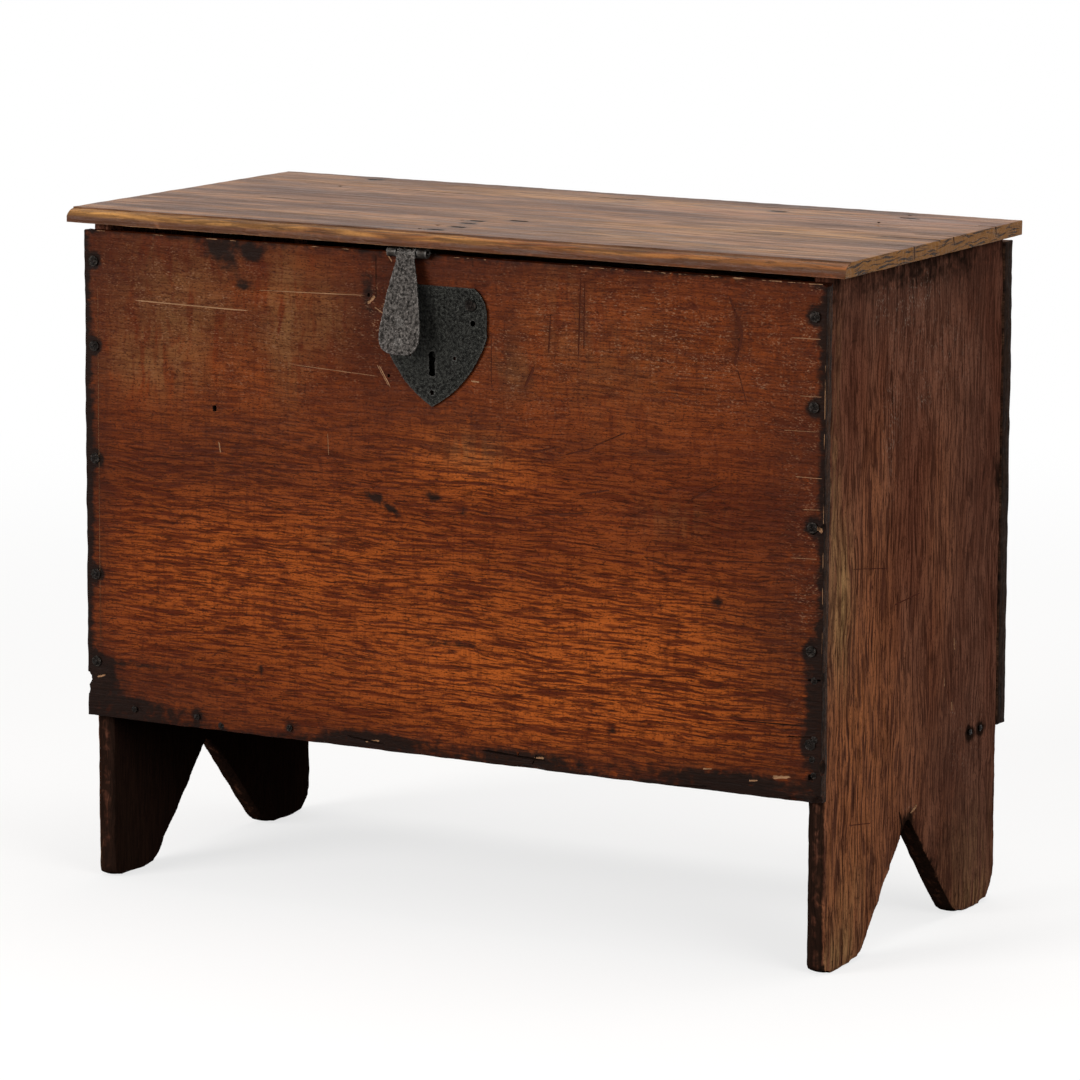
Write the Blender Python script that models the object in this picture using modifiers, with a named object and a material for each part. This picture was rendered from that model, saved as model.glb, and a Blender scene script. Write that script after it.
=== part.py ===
"""Boarded oak chest: six nailed boards, a lid on iron strap hinges, and a plate lock with a hasp.

Lengths are in metres. Every piece is laid out in chest coordinates: X to the right from the
middle of the front board, Y backwards from its front face, Z up from the floor. The empty that
carries the carcass then puts the middle of the whole chest over the origin.
"""

import math

import bmesh
import bpy
from mathutils import Matrix, Vector

# Fits
GAP = 0.0003  # clearance between pieces that touch
PIN_CLEARANCE = 0.0005  # between a hinge pin and its knuckles
KNUCKLE_GAP = 0.0005  # between neighbouring knuckles
SWING_CLEARANCE = 0.001  # round a barrel let into a board
ROLL_INSET = 0.0002  # a rolled knuckle lies this far inside its strap's face
CUT_OVERRUN = 0.002  # a drill or cutter starts this far outside the face it enters

# Carcass boards
BOARD_LENGTH = 0.814
FRONT_HEIGHT = 0.485
FRONT_THICKNESS = 0.013
BACK_THICKNESS = 0.019
BACK_RISE = 0.007  # back board's lower edge above the front board's
LEG_HEIGHT = 0.165  # floor to the front board's lower edge
END_WIDTH = 0.369
END_THICKNESS = 0.022
END_INSET = 0.001  # the end boards' faces lie inside the front board's ends
END_STAND = 0.0063  # the end boards stand above the shrunken front board
BOTTOM_THICKNESS = 0.016
BOTTOM_RISE = 0.004  # bottom board's underside above the front board's lower edge
HOUSING_DEPTH = 0.007  # grooves in the end boards that hold the bottom board

# Feet cut from the end boards by one pointed notch
FRONT_FOOT_LENGTH = 0.073
REAR_FOOT_LENGTH = 0.088
NOTCH_DROP = 0.049  # notch's point below the front board's lower edge
NOTCH_LEAN = -0.002  # notch's point behind the middle of its mouth
FOOT_EASE = 0.016  # length of the worn corners by the notch, each way from the corner
TOE_RADIUS = 0.010
HEEL_RADIUS = 0.030

# Lid, a little out of square
LID_THICKNESS = 0.015
LID_FRONT_OVERHANG = 0.012
LID_LEFT_OVERHANG = 0.012  # at the front corner
LID_RIGHT_OVERHANG = 0.024  # at the front corner
LID_LEFT_TAPER = 0.010  # lost towards the back
LID_RIGHT_TAPER = 0.006  # lost towards the back
LID_BACK_GAP = 0.0011  # lid's back edge to the back board's inner face
MOULDING_WIDTH = 0.012
MOULDING_LIP = 0.003
MOULDING_STEP = 0.0015

# Rose-headed nails
NAIL_SIDES = 6
BOARD_NAIL_RADIUS = 0.0022
BOARD_NAIL_HEAD = 0.0068
BOARD_NAIL_CROWN = 0.0022
BOARD_NAIL_BITE = 0.030  # length held by the far board
STRAP_NAIL_RADIUS = 0.0018
STRAP_NAIL_HEAD = 0.0052
STRAP_NAIL_CROWN = 0.0018
CLENCH = 0.0010  # point left standing on the far side
ROSE_FACET = 0.35  # upper edge of the head's facets, as a share of the head's radius
ROSE_SHOULDER = 0.80  # and as a share of the crown
ROSE_RIM = 0.25  # head's rim, as a share of the crown
ROSE_UNDERCUT = 0.96  # head's underside, as a share of its radius
NAIL_POINT = 0.75  # blunt point, as a share of the shank's radius
FRONT_NAIL_TOP = 0.031  # top nail below the upper edge
FRONT_NAIL_FOOT = 0.056  # bottom nail above the lower edge
FRONT_NAIL_SHARES = (0.0, 0.22, 0.51, 0.79, 1.0)  # of the run from bottom to top nail
BACK_NAIL_SHARES = (0.0, 0.55, 1.0)
BOTTOM_NAIL_SHARES = (0.069, 0.159, 0.290)  # of the front board's length
END_NAIL_SHARES = (0.834, 0.896)  # of the end board's width

# Strap hinges
STRAP_THICKNESS = 0.0028
HINGE_LEFT_EDGE = 0.117  # left hinge's middle from the boards' left ends
HINGE_RIGHT_EDGE = 0.092  # right hinge's middle from the boards' right ends
HINGE_WIDTH = 0.034
HINGE_TONGUE = 0.013  # middle knuckle
HINGE_TIP_WIDTH = 0.016
HINGE_STRAP_LENGTH = 0.115
HINGE_LEAF_LENGTH = 0.120
HINGE_KNUCKLE_RADIUS = 0.0055
HINGE_PIN_RADIUS = 0.0022
HINGE_NAIL_FIRST = 0.027  # from the axis
HINGE_NAIL_LAST = 0.020  # from the strap's tip

# Hasp, which hangs from the lid and stands off the lock
HASP_X = -0.0343
HASP_AXIS_REACH = 0.004  # axis in front of the front board's face
HASP_KNUCKLE_RADIUS = 0.00525
HASP_PIN_RADIUS = 0.0020
HASP_BARREL = 0.044
HASP_NECK = 0.021
HASP_WIDTH = 0.0452
HASP_LENGTH = 0.098  # axis to the rounded end
HASP_NECK_LENGTH = 0.008
HASP_BOW = 0.0012  # swell of its tapered sides
HASP_ROUND = 0.022  # widest place to the rounded end
HASP_SQUARENESS = 0.7  # power of the rounded end's curve: 1 is an ellipse, less is squarer
HASP_THICKNESS = 0.003
HASP_TILT = math.radians(9.5)
HASP_STRAP_LENGTH = 0.118
HASP_STRAP_TIP_WIDTH = 0.024
HASP_NAIL_FIRST = 0.021  # from the axis
HASP_NAIL_LAST = 0.017  # from the strap's tip
HASP_NAIL_SHARES = (0.0, 0.425, 1.0)  # of the run from first to last nail
STAPLE_RISE = 0.022  # middle of the eye above the hasp's rounded end
STAPLE_REACH = 0.013
STAPLE_WIRE = 0.004
STAPLE_WIDTH = 0.005
STAPLE_EYE = 0.015
STAPLE_TENON = 0.0018  # its legs' length in the hasp

# Lock
LOCK_X = -0.0092
PLATE_LEFT = 0.0562  # keyhole to the plate's left side
PLATE_RIGHT = 0.0600  # keyhole to its right side
PLATE_RISE = 0.0463  # plate's upper edge above the middle of the bolt
PLATE_POINT = 0.0302  # plate's point below the keyhole
PLATE_THICKNESS = 0.0025
PLATE_LEFT_CORNER_WIDTH = 0.012
PLATE_LEFT_CORNER_DROP = 0.044
PLATE_RIGHT_CORNER_WIDTH = 0.014
PLATE_RIGHT_CORNER_DROP = 0.026
PLATE_RIGHT_CORNER_BOW = 0.0039
PLATE_SIDE = 0.047  # upper edge to the start of the curved point
PLATE_BOW = 0.009
PLATE_NAIL_EDGE = 0.018  # nails from the plate's sides
PLATE_NAIL_DROP = 0.0165  # nails below the upper edge
PLATE_HOLE_FOOT = 0.014  # empty nail hole above the point
SPARE_HOLE_RADIUS = 0.0026
SPARE_HOLE_EDGE = 0.0155  # from the plate's right side
SPARE_HOLE_DROP = 0.0336
RIVET_HOLE_RADIUS = 0.0014
RIVET_HOLE_SPREAD = 0.0245
RIVET_HOLE_DROP = 0.068
KEY_DROP = 0.0206  # keyhole's round end below the middle of the bolt
KEYHOLE_RADIUS = 0.0036
KEYHOLE_SLOT_WIDTH = 0.006
KEYHOLE_LENGTH = 0.023
SLOT_CLEARANCE = 0.001  # round the staple, sideways
SLOT_RISE = 0.0027  # room above and below the staple as it swings in
BOLT_LENGTH = 0.062
BOLT_HEIGHT = 0.013
BOLT_THICKNESS = 0.0035
BOLT_TRAVEL = 0.014
BOLT_STANDOFF = 0.003  # bolt's nose short of the staple
BOLT_NOTCH_WIDTH = 0.016
BOLT_NOTCH_DEPTH = 0.0035
GUIDE_WIDTH = 0.006
GUIDE_WIRE = 0.003
GUIDE_NOSE = 0.0065  # left guide's middle from the bolt's nose
GUIDE_TAIL = 0.0115  # right guide's middle from the bolt's tail
SPRING_THICKNESS = 0.0012
SPRING_ARCH = 0.004
SPRING_WIDTH = 0.003
MORTISE_CLEARANCE = 0.003
KEY_WELL_HALF_WIDTH = 0.014
KEY_WELL_FOOT = 0.005  # below the keyhole
KEY_PIN_RADIUS = 0.0022
KEY_PIN_TIP = 0.002  # behind the plate
COVER_THICKNESS = 0.002
COVER_EDGE = 0.009  # beyond its nails

# Fineness of round shapes
KNUCKLE_SIDES = 16
PIN_SIDES = 12
HOLE_SIDES = 8
ARC_STEPS = 6
BOW_STEPS = 8
SMOOTH_ANGLE = math.radians(40)  # sharper edges stay sharp
WELD = 1e-6  # points nearer than this are one point

# Places that follow from the sizes above
FRONT_TOP = LEG_HEIGHT + FRONT_HEIGHT
END_HEIGHT = FRONT_TOP + END_STAND
LID_UNDERSIDE = END_HEIGHT + GAP
END_FRONT = FRONT_THICKNESS + GAP
BACK_INNER = END_FRONT + END_WIDTH + GAP
BACK_OUTER = BACK_INNER + BACK_THICKNESS
END_OUTER = BOARD_LENGTH / 2 - END_INSET
END_INNER = END_OUTER - END_THICKNESS
NAIL_X = (END_OUTER + END_INNER) / 2  # nails into the end boards' edges
BACK_LOWER_EDGE = LEG_HEIGHT + BACK_RISE
NOTCH_HEIGHT = LEG_HEIGHT - NOTCH_DROP
NOTCH_BACK = END_WIDTH - REAR_FOOT_LENGTH
NOTCH_APEX = (FRONT_FOOT_LENGTH + NOTCH_BACK) / 2 + NOTCH_LEAN
BOTTOM_UNDERSIDE = LEG_HEIGHT + BOTTOM_RISE
BOTTOM_MIDDLE = BOTTOM_UNDERSIDE + BOTTOM_THICKNESS / 2
LID_BACK = BACK_INNER - LID_BACK_GAP
STRAP_TOP = LID_UNDERSIDE - GAP
HINGE_Y = BACK_INNER - GAP - STRAP_THICKNESS + ROLL_INSET + HINGE_KNUCKLE_RADIUS
HINGE_Z = STRAP_TOP - ROLL_INSET - HINGE_KNUCKLE_RADIUS
HASP_Y = -HASP_AXIS_REACH
HASP_Z = STRAP_TOP - ROLL_INSET - HASP_KNUCKLE_RADIUS
HASP_FACE = HASP_Y - HASP_KNUCKLE_RADIUS - ROLL_INSET  # tongue's front, hanging straight
HASP_BACK = HASP_FACE + HASP_THICKNESS
HASP_SHOULDER = HASP_LENGTH - HASP_ROUND
STAPLE_DROP = HASP_LENGTH - STAPLE_RISE
STAPLE_HALF = STAPLE_EYE / 2 + STAPLE_WIRE
BOLT_Z = HASP_Z - STAPLE_DROP
KEY_Z = BOLT_Z - KEY_DROP
KEYHOLE_FOOT = KEY_Z + KEYHOLE_RADIUS - KEYHOLE_LENGTH
PLATE_TOP = BOLT_Z + PLATE_RISE
PLATE_TIP = KEYHOLE_FOOT - PLATE_POINT
PLATE_BACK = -GAP
PLATE_NAIL_Z = PLATE_TOP - PLATE_NAIL_DROP
PLATE_HOLE_Z = PLATE_TIP + PLATE_HOLE_FOOT
BOLT_FRONT = PLATE_BACK + GAP
BOLT_BACK = BOLT_FRONT + BOLT_THICKNESS
BOLT_NOSE = HASP_X + STAPLE_WIDTH / 2 + BOLT_STANDOFF
BOLT_TAIL = BOLT_NOSE + BOLT_LENGTH
GUIDE_LEFT_X = BOLT_NOSE + GUIDE_NOSE
GUIDE_RIGHT_X = BOLT_TAIL - GUIDE_TAIL
COVER_FRONT = FRONT_THICKNESS + GAP
HASP_TIP_REACH = -(HASP_FACE - HASP_Y) * math.cos(HASP_TILT) + HASP_LENGTH * math.sin(HASP_TILT)
FRONT_REACH = HASP_Y - HASP_TIP_REACH
BACK_REACH = BACK_OUTER + GAP + BOARD_NAIL_CROWN
CHEST_OFFSET = Vector((
    (LID_LEFT_OVERHANG - LID_RIGHT_OVERHANG) / 2,
    -(FRONT_REACH + BACK_REACH) / 2,
    0.0,
))

# Turns that lay a drawing, made in X and Y, on the plane it belongs to
FLAT = Matrix.Identity(3)
UPRIGHT = Matrix(((1, 0, 0), (0, 0, -1), (0, 1, 0)))  # drawing's X to X, Y to Z, face to -Y
SIDEWAYS = Matrix(((0, 0, 1), (1, 0, 0), (0, 1, 0)))  # drawing's X to Y, Y to Z, face to +X


def clear_scene():
    """Take away everything the scene holds."""
    for old in list(bpy.data.objects):
        bpy.data.objects.remove(old, do_unlink=True)


def new_collection(name):
    """A collection of this name, linked to the scene."""
    made = bpy.data.collections.new(name)
    bpy.context.scene.collection.children.link(made)
    return made


def material(name, colour, roughness, metallic):
    """A Principled material."""
    made = bpy.data.materials.new(name)
    made.use_nodes = True
    shader = made.node_tree.nodes["Principled BSDF"]
    shader.inputs["Base Color"].default_value = (*colour, 1.0)
    shader.inputs["Roughness"].default_value = roughness
    shader.inputs["Metallic"].default_value = metallic
    return made


def empty(name, parent, place):
    """An empty that carries a body, at a place in chest coordinates."""
    made = bpy.data.objects.new(name, None)
    PARTS.objects.link(made)
    made.parent = parent
    made.location = place if parent is None else place - Vector(parent["axis"])
    made["axis"] = Vector((0, 0, 0)) if parent is None else place
    return made


def carried(obj, body):
    """Hang an object, laid out in chest coordinates, on the empty of its body."""
    obj.parent = body
    obj.matrix_parent_inverse = Matrix.Translation(-Vector(body["axis"]))
    return obj


def add_object(name, mesh, place=(0, 0, 0), turn=FLAT):
    """An object with this mesh, in chest coordinates."""
    made = bpy.data.objects.new(name, mesh)
    PARTS.objects.link(made)
    made.matrix_basis = Matrix.Translation(place) @ turn.to_4x4()
    return made


def finish(obj, body, look):
    """Give a piece its body and its material."""
    obj.data.materials.clear()
    obj.data.materials.append(look)
    return carried(obj, body)


def box(name, low, high):
    """A block between two corners."""
    size = [top - bottom for bottom, top in zip(low, high)]
    middle = [(top + bottom) / 2 for bottom, top in zip(low, high)]
    mesh = bpy.data.meshes.new(name)
    shape = bmesh.new()
    bmesh.ops.create_cube(shape, size=1.0, matrix=Matrix.Diagonal((*size, 1.0)))
    shape.to_mesh(mesh)
    shape.free()
    return add_object(name, mesh, middle)


def rod(name, start, length, radius, turn, sides=KNUCKLE_SIDES):
    """A round bar that runs from start along the turned Z axis."""
    mesh = bpy.data.meshes.new(name)
    shape = bmesh.new()
    bmesh.ops.create_cone(
        shape, cap_ends=True, segments=sides, radius1=radius, radius2=radius, depth=length,
        matrix=Matrix.Translation((0, 0, length / 2)),
    )
    shape.to_mesh(mesh)
    shape.free()
    made = add_object(name, mesh, start, turn)
    mesh.shade_smooth()
    mesh.set_sharp_from_angle(angle=SMOOTH_ANGLE)
    return made


def drawn(name, outlines, thickness, turn, place):
    """A plate from drawn outlines, the first one round it and the others its holes.

    The drawing's plane lies in the middle of the plate.
    """
    curve = bpy.data.curves.new(name, "CURVE")
    curve.dimensions = "2D"
    curve.fill_mode = "BOTH"
    curve.extrude = thickness / 2
    for points in outlines:
        spline = curve.splines.new("POLY")
        spline.points.add(len(points) - 1)
        for point, (across, up) in zip(spline.points, points):
            point.co = (across, up, 0.0, 1.0)
        spline.use_cyclic_u = True
    guide = add_object(name + "_drawing", curve)
    bpy.context.view_layer.update()
    graph = bpy.context.evaluated_depsgraph_get()
    mesh = bpy.data.meshes.new_from_object(guide.evaluated_get(graph))
    bpy.data.objects.remove(guide, do_unlink=True)
    shape = bmesh.new()
    shape.from_mesh(mesh)
    bmesh.ops.remove_doubles(shape, verts=shape.verts, dist=WELD)
    bmesh.ops.recalc_face_normals(shape, faces=shape.faces)
    shape.to_mesh(mesh)
    shape.free()
    mesh.name = name
    return add_object(name, mesh, place, turn)


def boolean(obj, other, operation):
    """Cut another shape from an object, or join it on. The other becomes a hidden helper.

    Drawn plates are filled with thin triangles, which the exact solver leaves open, so this is
    the manifold one.
    """
    PARTS.objects.unlink(other)
    CUTTERS.objects.link(other)
    other.hide_render = True
    other.display_type = "WIRE"
    step = obj.modifiers.new(other.name, "BOOLEAN")
    step.operation = operation
    step.solver = "MANIFOLD"
    step.object = other
    return obj


def cut(obj, *others):
    """Cut other shapes out of an object on the carcass."""
    for other in others:
        boolean(obj, carried(other, CHEST), "DIFFERENCE")
    return obj


def joined(obj, *others):
    """Join other shapes to an object."""
    for other in others:
        boolean(obj, other, "UNION")
    return obj


def ring(middle, radius, sides=HOLE_SIDES):
    """A round outline."""
    steps = [math.tau * step / sides for step in range(sides)]
    return [(middle[0] + radius * math.cos(a), middle[1] + radius * math.sin(a)) for a in steps]


def nail_hole(middle, radius):
    """An outline that a nail of this radius passes with its clearance on every side."""
    return ring(middle, (radius + GAP) / math.cos(math.pi / NAIL_SIDES), NAIL_SIDES)


def arc(middle, radius, first, last, steps=ARC_STEPS):
    """Points along an arc, with angles in degrees."""
    angles = [math.radians(first + (last - first) * step / steps) for step in range(steps + 1)]
    return [(middle[0] + radius * math.cos(a), middle[1] + radius * math.sin(a)) for a in angles]


def bowed(start, stop, rise, steps=BOW_STEPS):
    """Points between start and stop, bowed to the right of the way by rise at the middle."""
    run = (stop[0] - start[0], stop[1] - start[1])
    length = math.hypot(*run)
    made = []
    for step in range(1, steps):
        share = step / steps
        out = 4 * rise * share * (1 - share) / length
        made.append((start[0] + run[0] * share + run[1] * out, start[1] + run[1] * share - run[0] * out))
    return made


def eased(before, corner, after, reach, steps=ARC_STEPS):
    """Points round a worn corner, from this far before it to this far after it."""
    ends = []
    for other in (before, after):
        share = reach / math.dist(corner, other)
        ends.append([c + (o - c) * share for c, o in zip(corner, other)])
    made = []
    for step in range(steps + 1):
        share = step / steps
        weights = ((1 - share) ** 2, 2 * share * (1 - share), share ** 2)
        made.append(tuple(
            sum(weight * point for weight, point in zip(weights, place))
            for place in zip(ends[0], corner, ends[1])
        ))
    return made


def mirrored(points):
    """An outline drawn on the right half, with its left half added."""
    return points + [(-across, up) for across, up in reversed(points) if abs(across) > WELD]


def spread(first, last, shares):
    """Places at these shares of the way from first to last."""
    return [first + (last - first) * share for share in shares]


def nail_mesh(name, length, radius, head, crown):
    """The half outline of a rose-headed nail along -Z, with its head's underside at the origin."""
    profile = (
        (0.0, crown), (head * ROSE_FACET, crown * ROSE_SHOULDER), (head, crown * ROSE_RIM),
        (head * ROSE_UNDERCUT, 0.0), (radius, 0.0), (radius * NAIL_POINT, -length), (0.0, -length),
    )
    mesh = bpy.data.meshes.new(name)
    points = [(across, 0.0, up) for across, up in profile]
    mesh.from_pydata(points, [(i, i + 1) for i in range(len(points) - 1)], [])
    return mesh


def nail(name, mesh, place, turn, body):
    """One nail, turned from its half outline, with its clearance under the head."""
    made = add_object(name, mesh, Vector(place) + turn @ Vector((0, 0, GAP)), turn)
    screw = made.modifiers.new("turned", "SCREW")
    screw.steps = NAIL_SIDES
    screw.render_steps = NAIL_SIDES
    screw.use_merge_vertices = True
    screw.merge_threshold = WELD
    screw.use_smooth_shade = False
    return finish(made, body, IRON_NAIL)


def nail_bore(name, place, turn, length, radius):
    """A drill for a nail's hole, which enters at place and runs along -Z of the turn."""
    wide = (radius + GAP) / math.cos(math.pi / NAIL_SIDES)
    start = Vector(place) + turn @ Vector((0, 0, -length))
    return rod(name, start, length + CUT_OVERRUN, wide, turn, NAIL_SIDES)


# The way each nail's head faces
FACES_FRONT = Matrix.Rotation(math.pi / 2, 3, "X")
FACES_BACK = Matrix.Rotation(-math.pi / 2, 3, "X")
FACES_DOWN = Matrix.Rotation(math.pi, 3, "X")
FACES_RIGHT = Matrix.Rotation(math.pi / 2, 3, "Y")
FACES_LEFT = Matrix.Rotation(-math.pi / 2, 3, "Y")


def end_nail_heights():
    """Heights of the nails down each end of the front board."""
    return spread(LEG_HEIGHT + FRONT_NAIL_FOOT, FRONT_TOP - FRONT_NAIL_TOP, FRONT_NAIL_SHARES)


def back_nail_heights():
    """Heights of the nails down each end of the back board."""
    return spread(BACK_LOWER_EDGE + FRONT_NAIL_FOOT, FRONT_TOP - FRONT_NAIL_TOP, BACK_NAIL_SHARES)


def bottom_nail_places():
    """Distances from the middle of the nails along the front board's lower edge."""
    return spread(-BOARD_LENGTH / 2, BOARD_LENGTH / 2, BOTTOM_NAIL_SHARES)


def end_nail_depths():
    """Depths of the nails that go through an end board into the bottom board."""
    return spread(END_FRONT, END_FRONT + END_WIDTH, END_NAIL_SHARES)


def plate_nail_places():
    """The lock plate's nails on the front board's face."""
    left, right = PLATE_LEFT - PLATE_NAIL_EDGE, PLATE_RIGHT - PLATE_NAIL_EDGE
    return [(LOCK_X - left, PLATE_NAIL_Z), (LOCK_X + right, PLATE_NAIL_Z)]


def plate_hole_places():
    """The lock plate's nails, and the hole by its point that has lost its nail."""
    return plate_nail_places() + [(LOCK_X, PLATE_HOLE_Z)]


def hasp_nail_reaches():
    """Distances from the hasp's axis of the nails in its strap."""
    return spread(HASP_NAIL_FIRST, HASP_STRAP_LENGTH - HASP_NAIL_LAST, HASP_NAIL_SHARES)


def hinge_nail_reaches(length):
    """Distances from a hinge's axis of the nails in a strap of this length."""
    return HINGE_NAIL_FIRST, length - HINGE_NAIL_LAST


def mortise_outlines():
    """The lock's room in the front board: the bolt's channel, and the key's well under it."""
    left = BOLT_NOSE - BOLT_TRAVEL - MORTISE_CLEARANCE
    right = BOLT_TAIL + MORTISE_CLEARANCE
    half = STAPLE_HALF + SLOT_RISE + MORTISE_CLEARANCE
    low, high = BOLT_Z - half, BOLT_Z + half
    foot = KEYHOLE_FOOT - KEYHOLE_RADIUS - KEY_WELL_FOOT
    well = LOCK_X - KEY_WELL_HALF_WIDTH, LOCK_X + KEY_WELL_HALF_WIDTH
    return [
        (left, high), (left, low), (well[0], low), (well[0], foot), (well[1], foot), (well[1], low),
        (right, low), (right, high),
    ]


def make_front_board():
    """The front board, with its nail holes, the lock's mortise and a rebate for the hasp's barrel."""
    half = BOARD_LENGTH / 2
    edge = [(-half, LEG_HEIGHT), (half, LEG_HEIGHT), (half, FRONT_TOP), (-half, FRONT_TOP)]
    holes = [mortise_outlines()]
    for height in end_nail_heights():
        holes += [nail_hole((side * NAIL_X, height), BOARD_NAIL_RADIUS) for side in (1, -1)]
    holes += [nail_hole((x, BOTTOM_MIDDLE), BOARD_NAIL_RADIUS) for x in bottom_nail_places()]
    holes += [nail_hole(place, STRAP_NAIL_RADIUS) for place in plate_hole_places()]
    board = drawn("front_board", [edge] + holes, FRONT_THICKNESS, UPRIGHT, (0, FRONT_THICKNESS / 2, 0))
    reach = HASP_BARREL / 2 + SWING_CLEARANCE
    rebate = box(
        "hasp_rebate",
        (HASP_X - reach, -CUT_OVERRUN, HASP_Z - HASP_KNUCKLE_RADIUS - SWING_CLEARANCE),
        (HASP_X + reach, HASP_Y + HASP_KNUCKLE_RADIUS + SWING_CLEARANCE, FRONT_TOP + CUT_OVERRUN),
    )
    return finish(cut(board, rebate), CHEST, OAK_FRONT)


def make_back_board():
    """The back board, with its nail holes and rebates for the hinges' barrels."""
    half = BOARD_LENGTH / 2
    edge = [(-half, BACK_LOWER_EDGE), (half, BACK_LOWER_EDGE), (half, FRONT_TOP), (-half, FRONT_TOP)]
    holes = []
    for height in back_nail_heights():
        holes += [nail_hole((side * NAIL_X, height), BOARD_NAIL_RADIUS) for side in (1, -1)]
    for x in HINGES.values():
        for reach in hinge_nail_reaches(HINGE_LEAF_LENGTH):
            holes.append(nail_hole((x, HINGE_Z - reach), STRAP_NAIL_RADIUS))
    middle = BACK_INNER + BACK_THICKNESS / 2
    board = drawn("back_board", [edge] + holes, BACK_THICKNESS, UPRIGHT, (0, middle, 0))
    reach = HINGE_WIDTH / 2 + SWING_CLEARANCE
    for side, x in HINGES.items():
        rebate = box(
            "hinge_rebate_" + side,
            (x - reach, BACK_INNER - CUT_OVERRUN, HINGE_Z - HINGE_KNUCKLE_RADIUS - SWING_CLEARANCE),
            (x + reach, HINGE_Y + HINGE_KNUCKLE_RADIUS + SWING_CLEARANCE, FRONT_TOP + CUT_OVERRUN),
        )
        cut(board, rebate)
    return finish(board, CHEST, OAK_BACK)


def end_outline():
    """An end board seen from its right: a plank with a pointed notch that leaves two feet."""
    apex = (NOTCH_APEX, NOTCH_HEIGHT)
    front, rear = (FRONT_FOOT_LENGTH, 0.0), (NOTCH_BACK, 0.0)
    points = [(0.0, END_HEIGHT)]
    points += arc((TOE_RADIUS, TOE_RADIUS), TOE_RADIUS, 180, 270)
    points += eased((0.0, 0.0), front, apex, FOOT_EASE) + [apex]
    points += eased(apex, rear, (END_WIDTH, 0.0), FOOT_EASE)
    points += arc((END_WIDTH - HEEL_RADIUS, HEEL_RADIUS), HEEL_RADIUS, 270, 360)
    points += [(END_WIDTH, END_HEIGHT)]
    return points


def make_end_board(name, side):
    """An end board, side being -1 for the left one and 1 for the right one."""
    middle = side * (END_OUTER + END_INNER) / 2
    holes = []
    for depth in end_nail_depths():
        holes.append(nail_hole((depth - END_FRONT, BOTTOM_MIDDLE), BOARD_NAIL_RADIUS))
    board = drawn(name, [end_outline()] + holes, END_THICKNESS, SIDEWAYS, (middle, END_FRONT, 0))
    inner = sorted((side * (END_INNER + HOUSING_DEPTH + GAP), side * (END_INNER - CUT_OVERRUN)))
    housing = box(
        name + "_housing",
        (inner[0], END_FRONT - CUT_OVERRUN, BOTTOM_UNDERSIDE - GAP),
        (inner[1], BACK_INNER + CUT_OVERRUN, BOTTOM_UNDERSIDE + BOTTOM_THICKNESS + GAP),
    )
    cut(board, housing)
    x = side * NAIL_X
    depth = BOARD_NAIL_BITE + GAP
    for number, height in enumerate(end_nail_heights(), 1):
        place = (x, END_FRONT, height)
        cut(board, nail_bore(f"{name}_front_bore_{number}", place, FACES_FRONT, depth, BOARD_NAIL_RADIUS))
    for number, height in enumerate(back_nail_heights(), 1):
        place = (x, END_FRONT + END_WIDTH, height)
        cut(board, nail_bore(f"{name}_back_bore_{number}", place, FACES_BACK, depth, BOARD_NAIL_RADIUS))
    return finish(board, CHEST, OAK_END)


def make_bottom_board():
    """The bottom board, housed in the ends and bored for the nails that hold it."""
    half = END_INNER + HOUSING_DEPTH
    low = (-half, FRONT_THICKNESS + GAP, BOTTOM_UNDERSIDE)
    board = box("bottom_board", low, (half, BACK_INNER - GAP, BOTTOM_UNDERSIDE + BOTTOM_THICKNESS))
    depth = BOARD_NAIL_BITE + GAP
    for number, x in enumerate(bottom_nail_places(), 1):
        place = (x, FRONT_THICKNESS, BOTTOM_MIDDLE)
        cut(board, nail_bore(f"bottom_front_bore_{number}", place, FACES_FRONT, depth, BOARD_NAIL_RADIUS))
    for number, y in enumerate(end_nail_depths(), 1):
        for side, turn in ((-1, FACES_LEFT), (1, FACES_RIGHT)):
            place = (side * half, y, BOTTOM_MIDDLE)
            name = f"bottom_end_bore_{number}_{side}"
            cut(board, nail_bore(name, place, turn, depth, BOARD_NAIL_RADIUS))
    return finish(board, CHEST, OAK_INSIDE)


def lid_outline():
    """The lid seen from its right end: a plank with a thumbnail moulding along its front edge."""
    front = -LID_FRONT_OVERHANG
    shoulder = (front + MOULDING_WIDTH, LID_THICKNESS - MOULDING_STEP)
    points = [(front, 0.0), (LID_BACK, 0.0), (LID_BACK, LID_THICKNESS), (shoulder[0], LID_THICKNESS)]
    rise = shoulder[1] - MOULDING_LIP
    for across, up in arc((0.0, 0.0), 1.0, 90, 180):
        points.append((shoulder[0] + across * MOULDING_WIDTH, MOULDING_LIP + up * rise))
    return points


def make_lid_board():
    """The lid, with its ends running slightly in towards the back."""
    length = BOARD_LENGTH + LID_LEFT_OVERHANG + LID_RIGHT_OVERHANG
    middle = (LID_RIGHT_OVERHANG - LID_LEFT_OVERHANG) / 2
    board = drawn("lid_board", [lid_outline()], length, SIDEWAYS, (middle, 0, LID_UNDERSIDE))
    depth = LID_FRONT_OVERHANG + LID_BACK
    for corner in board.data.vertices:
        share = (corner.co.x + LID_FRONT_OVERHANG) / depth
        corner.co.z -= share * (LID_RIGHT_TAPER if corner.co.z > 0 else -LID_LEFT_TAPER)
    through = LID_THICKNESS + CUT_OVERRUN
    for number, (x, y) in enumerate(lid_nail_places(), 1):
        top = (x, y, LID_UNDERSIDE + LID_THICKNESS)
        bore = nail_bore(f"lid_bore_{number}", top, FLAT, through, STRAP_NAIL_RADIUS)
        boolean(board, carried(bore, LID), "DIFFERENCE")
    return finish(board, LID, OAK_LID)


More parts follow.
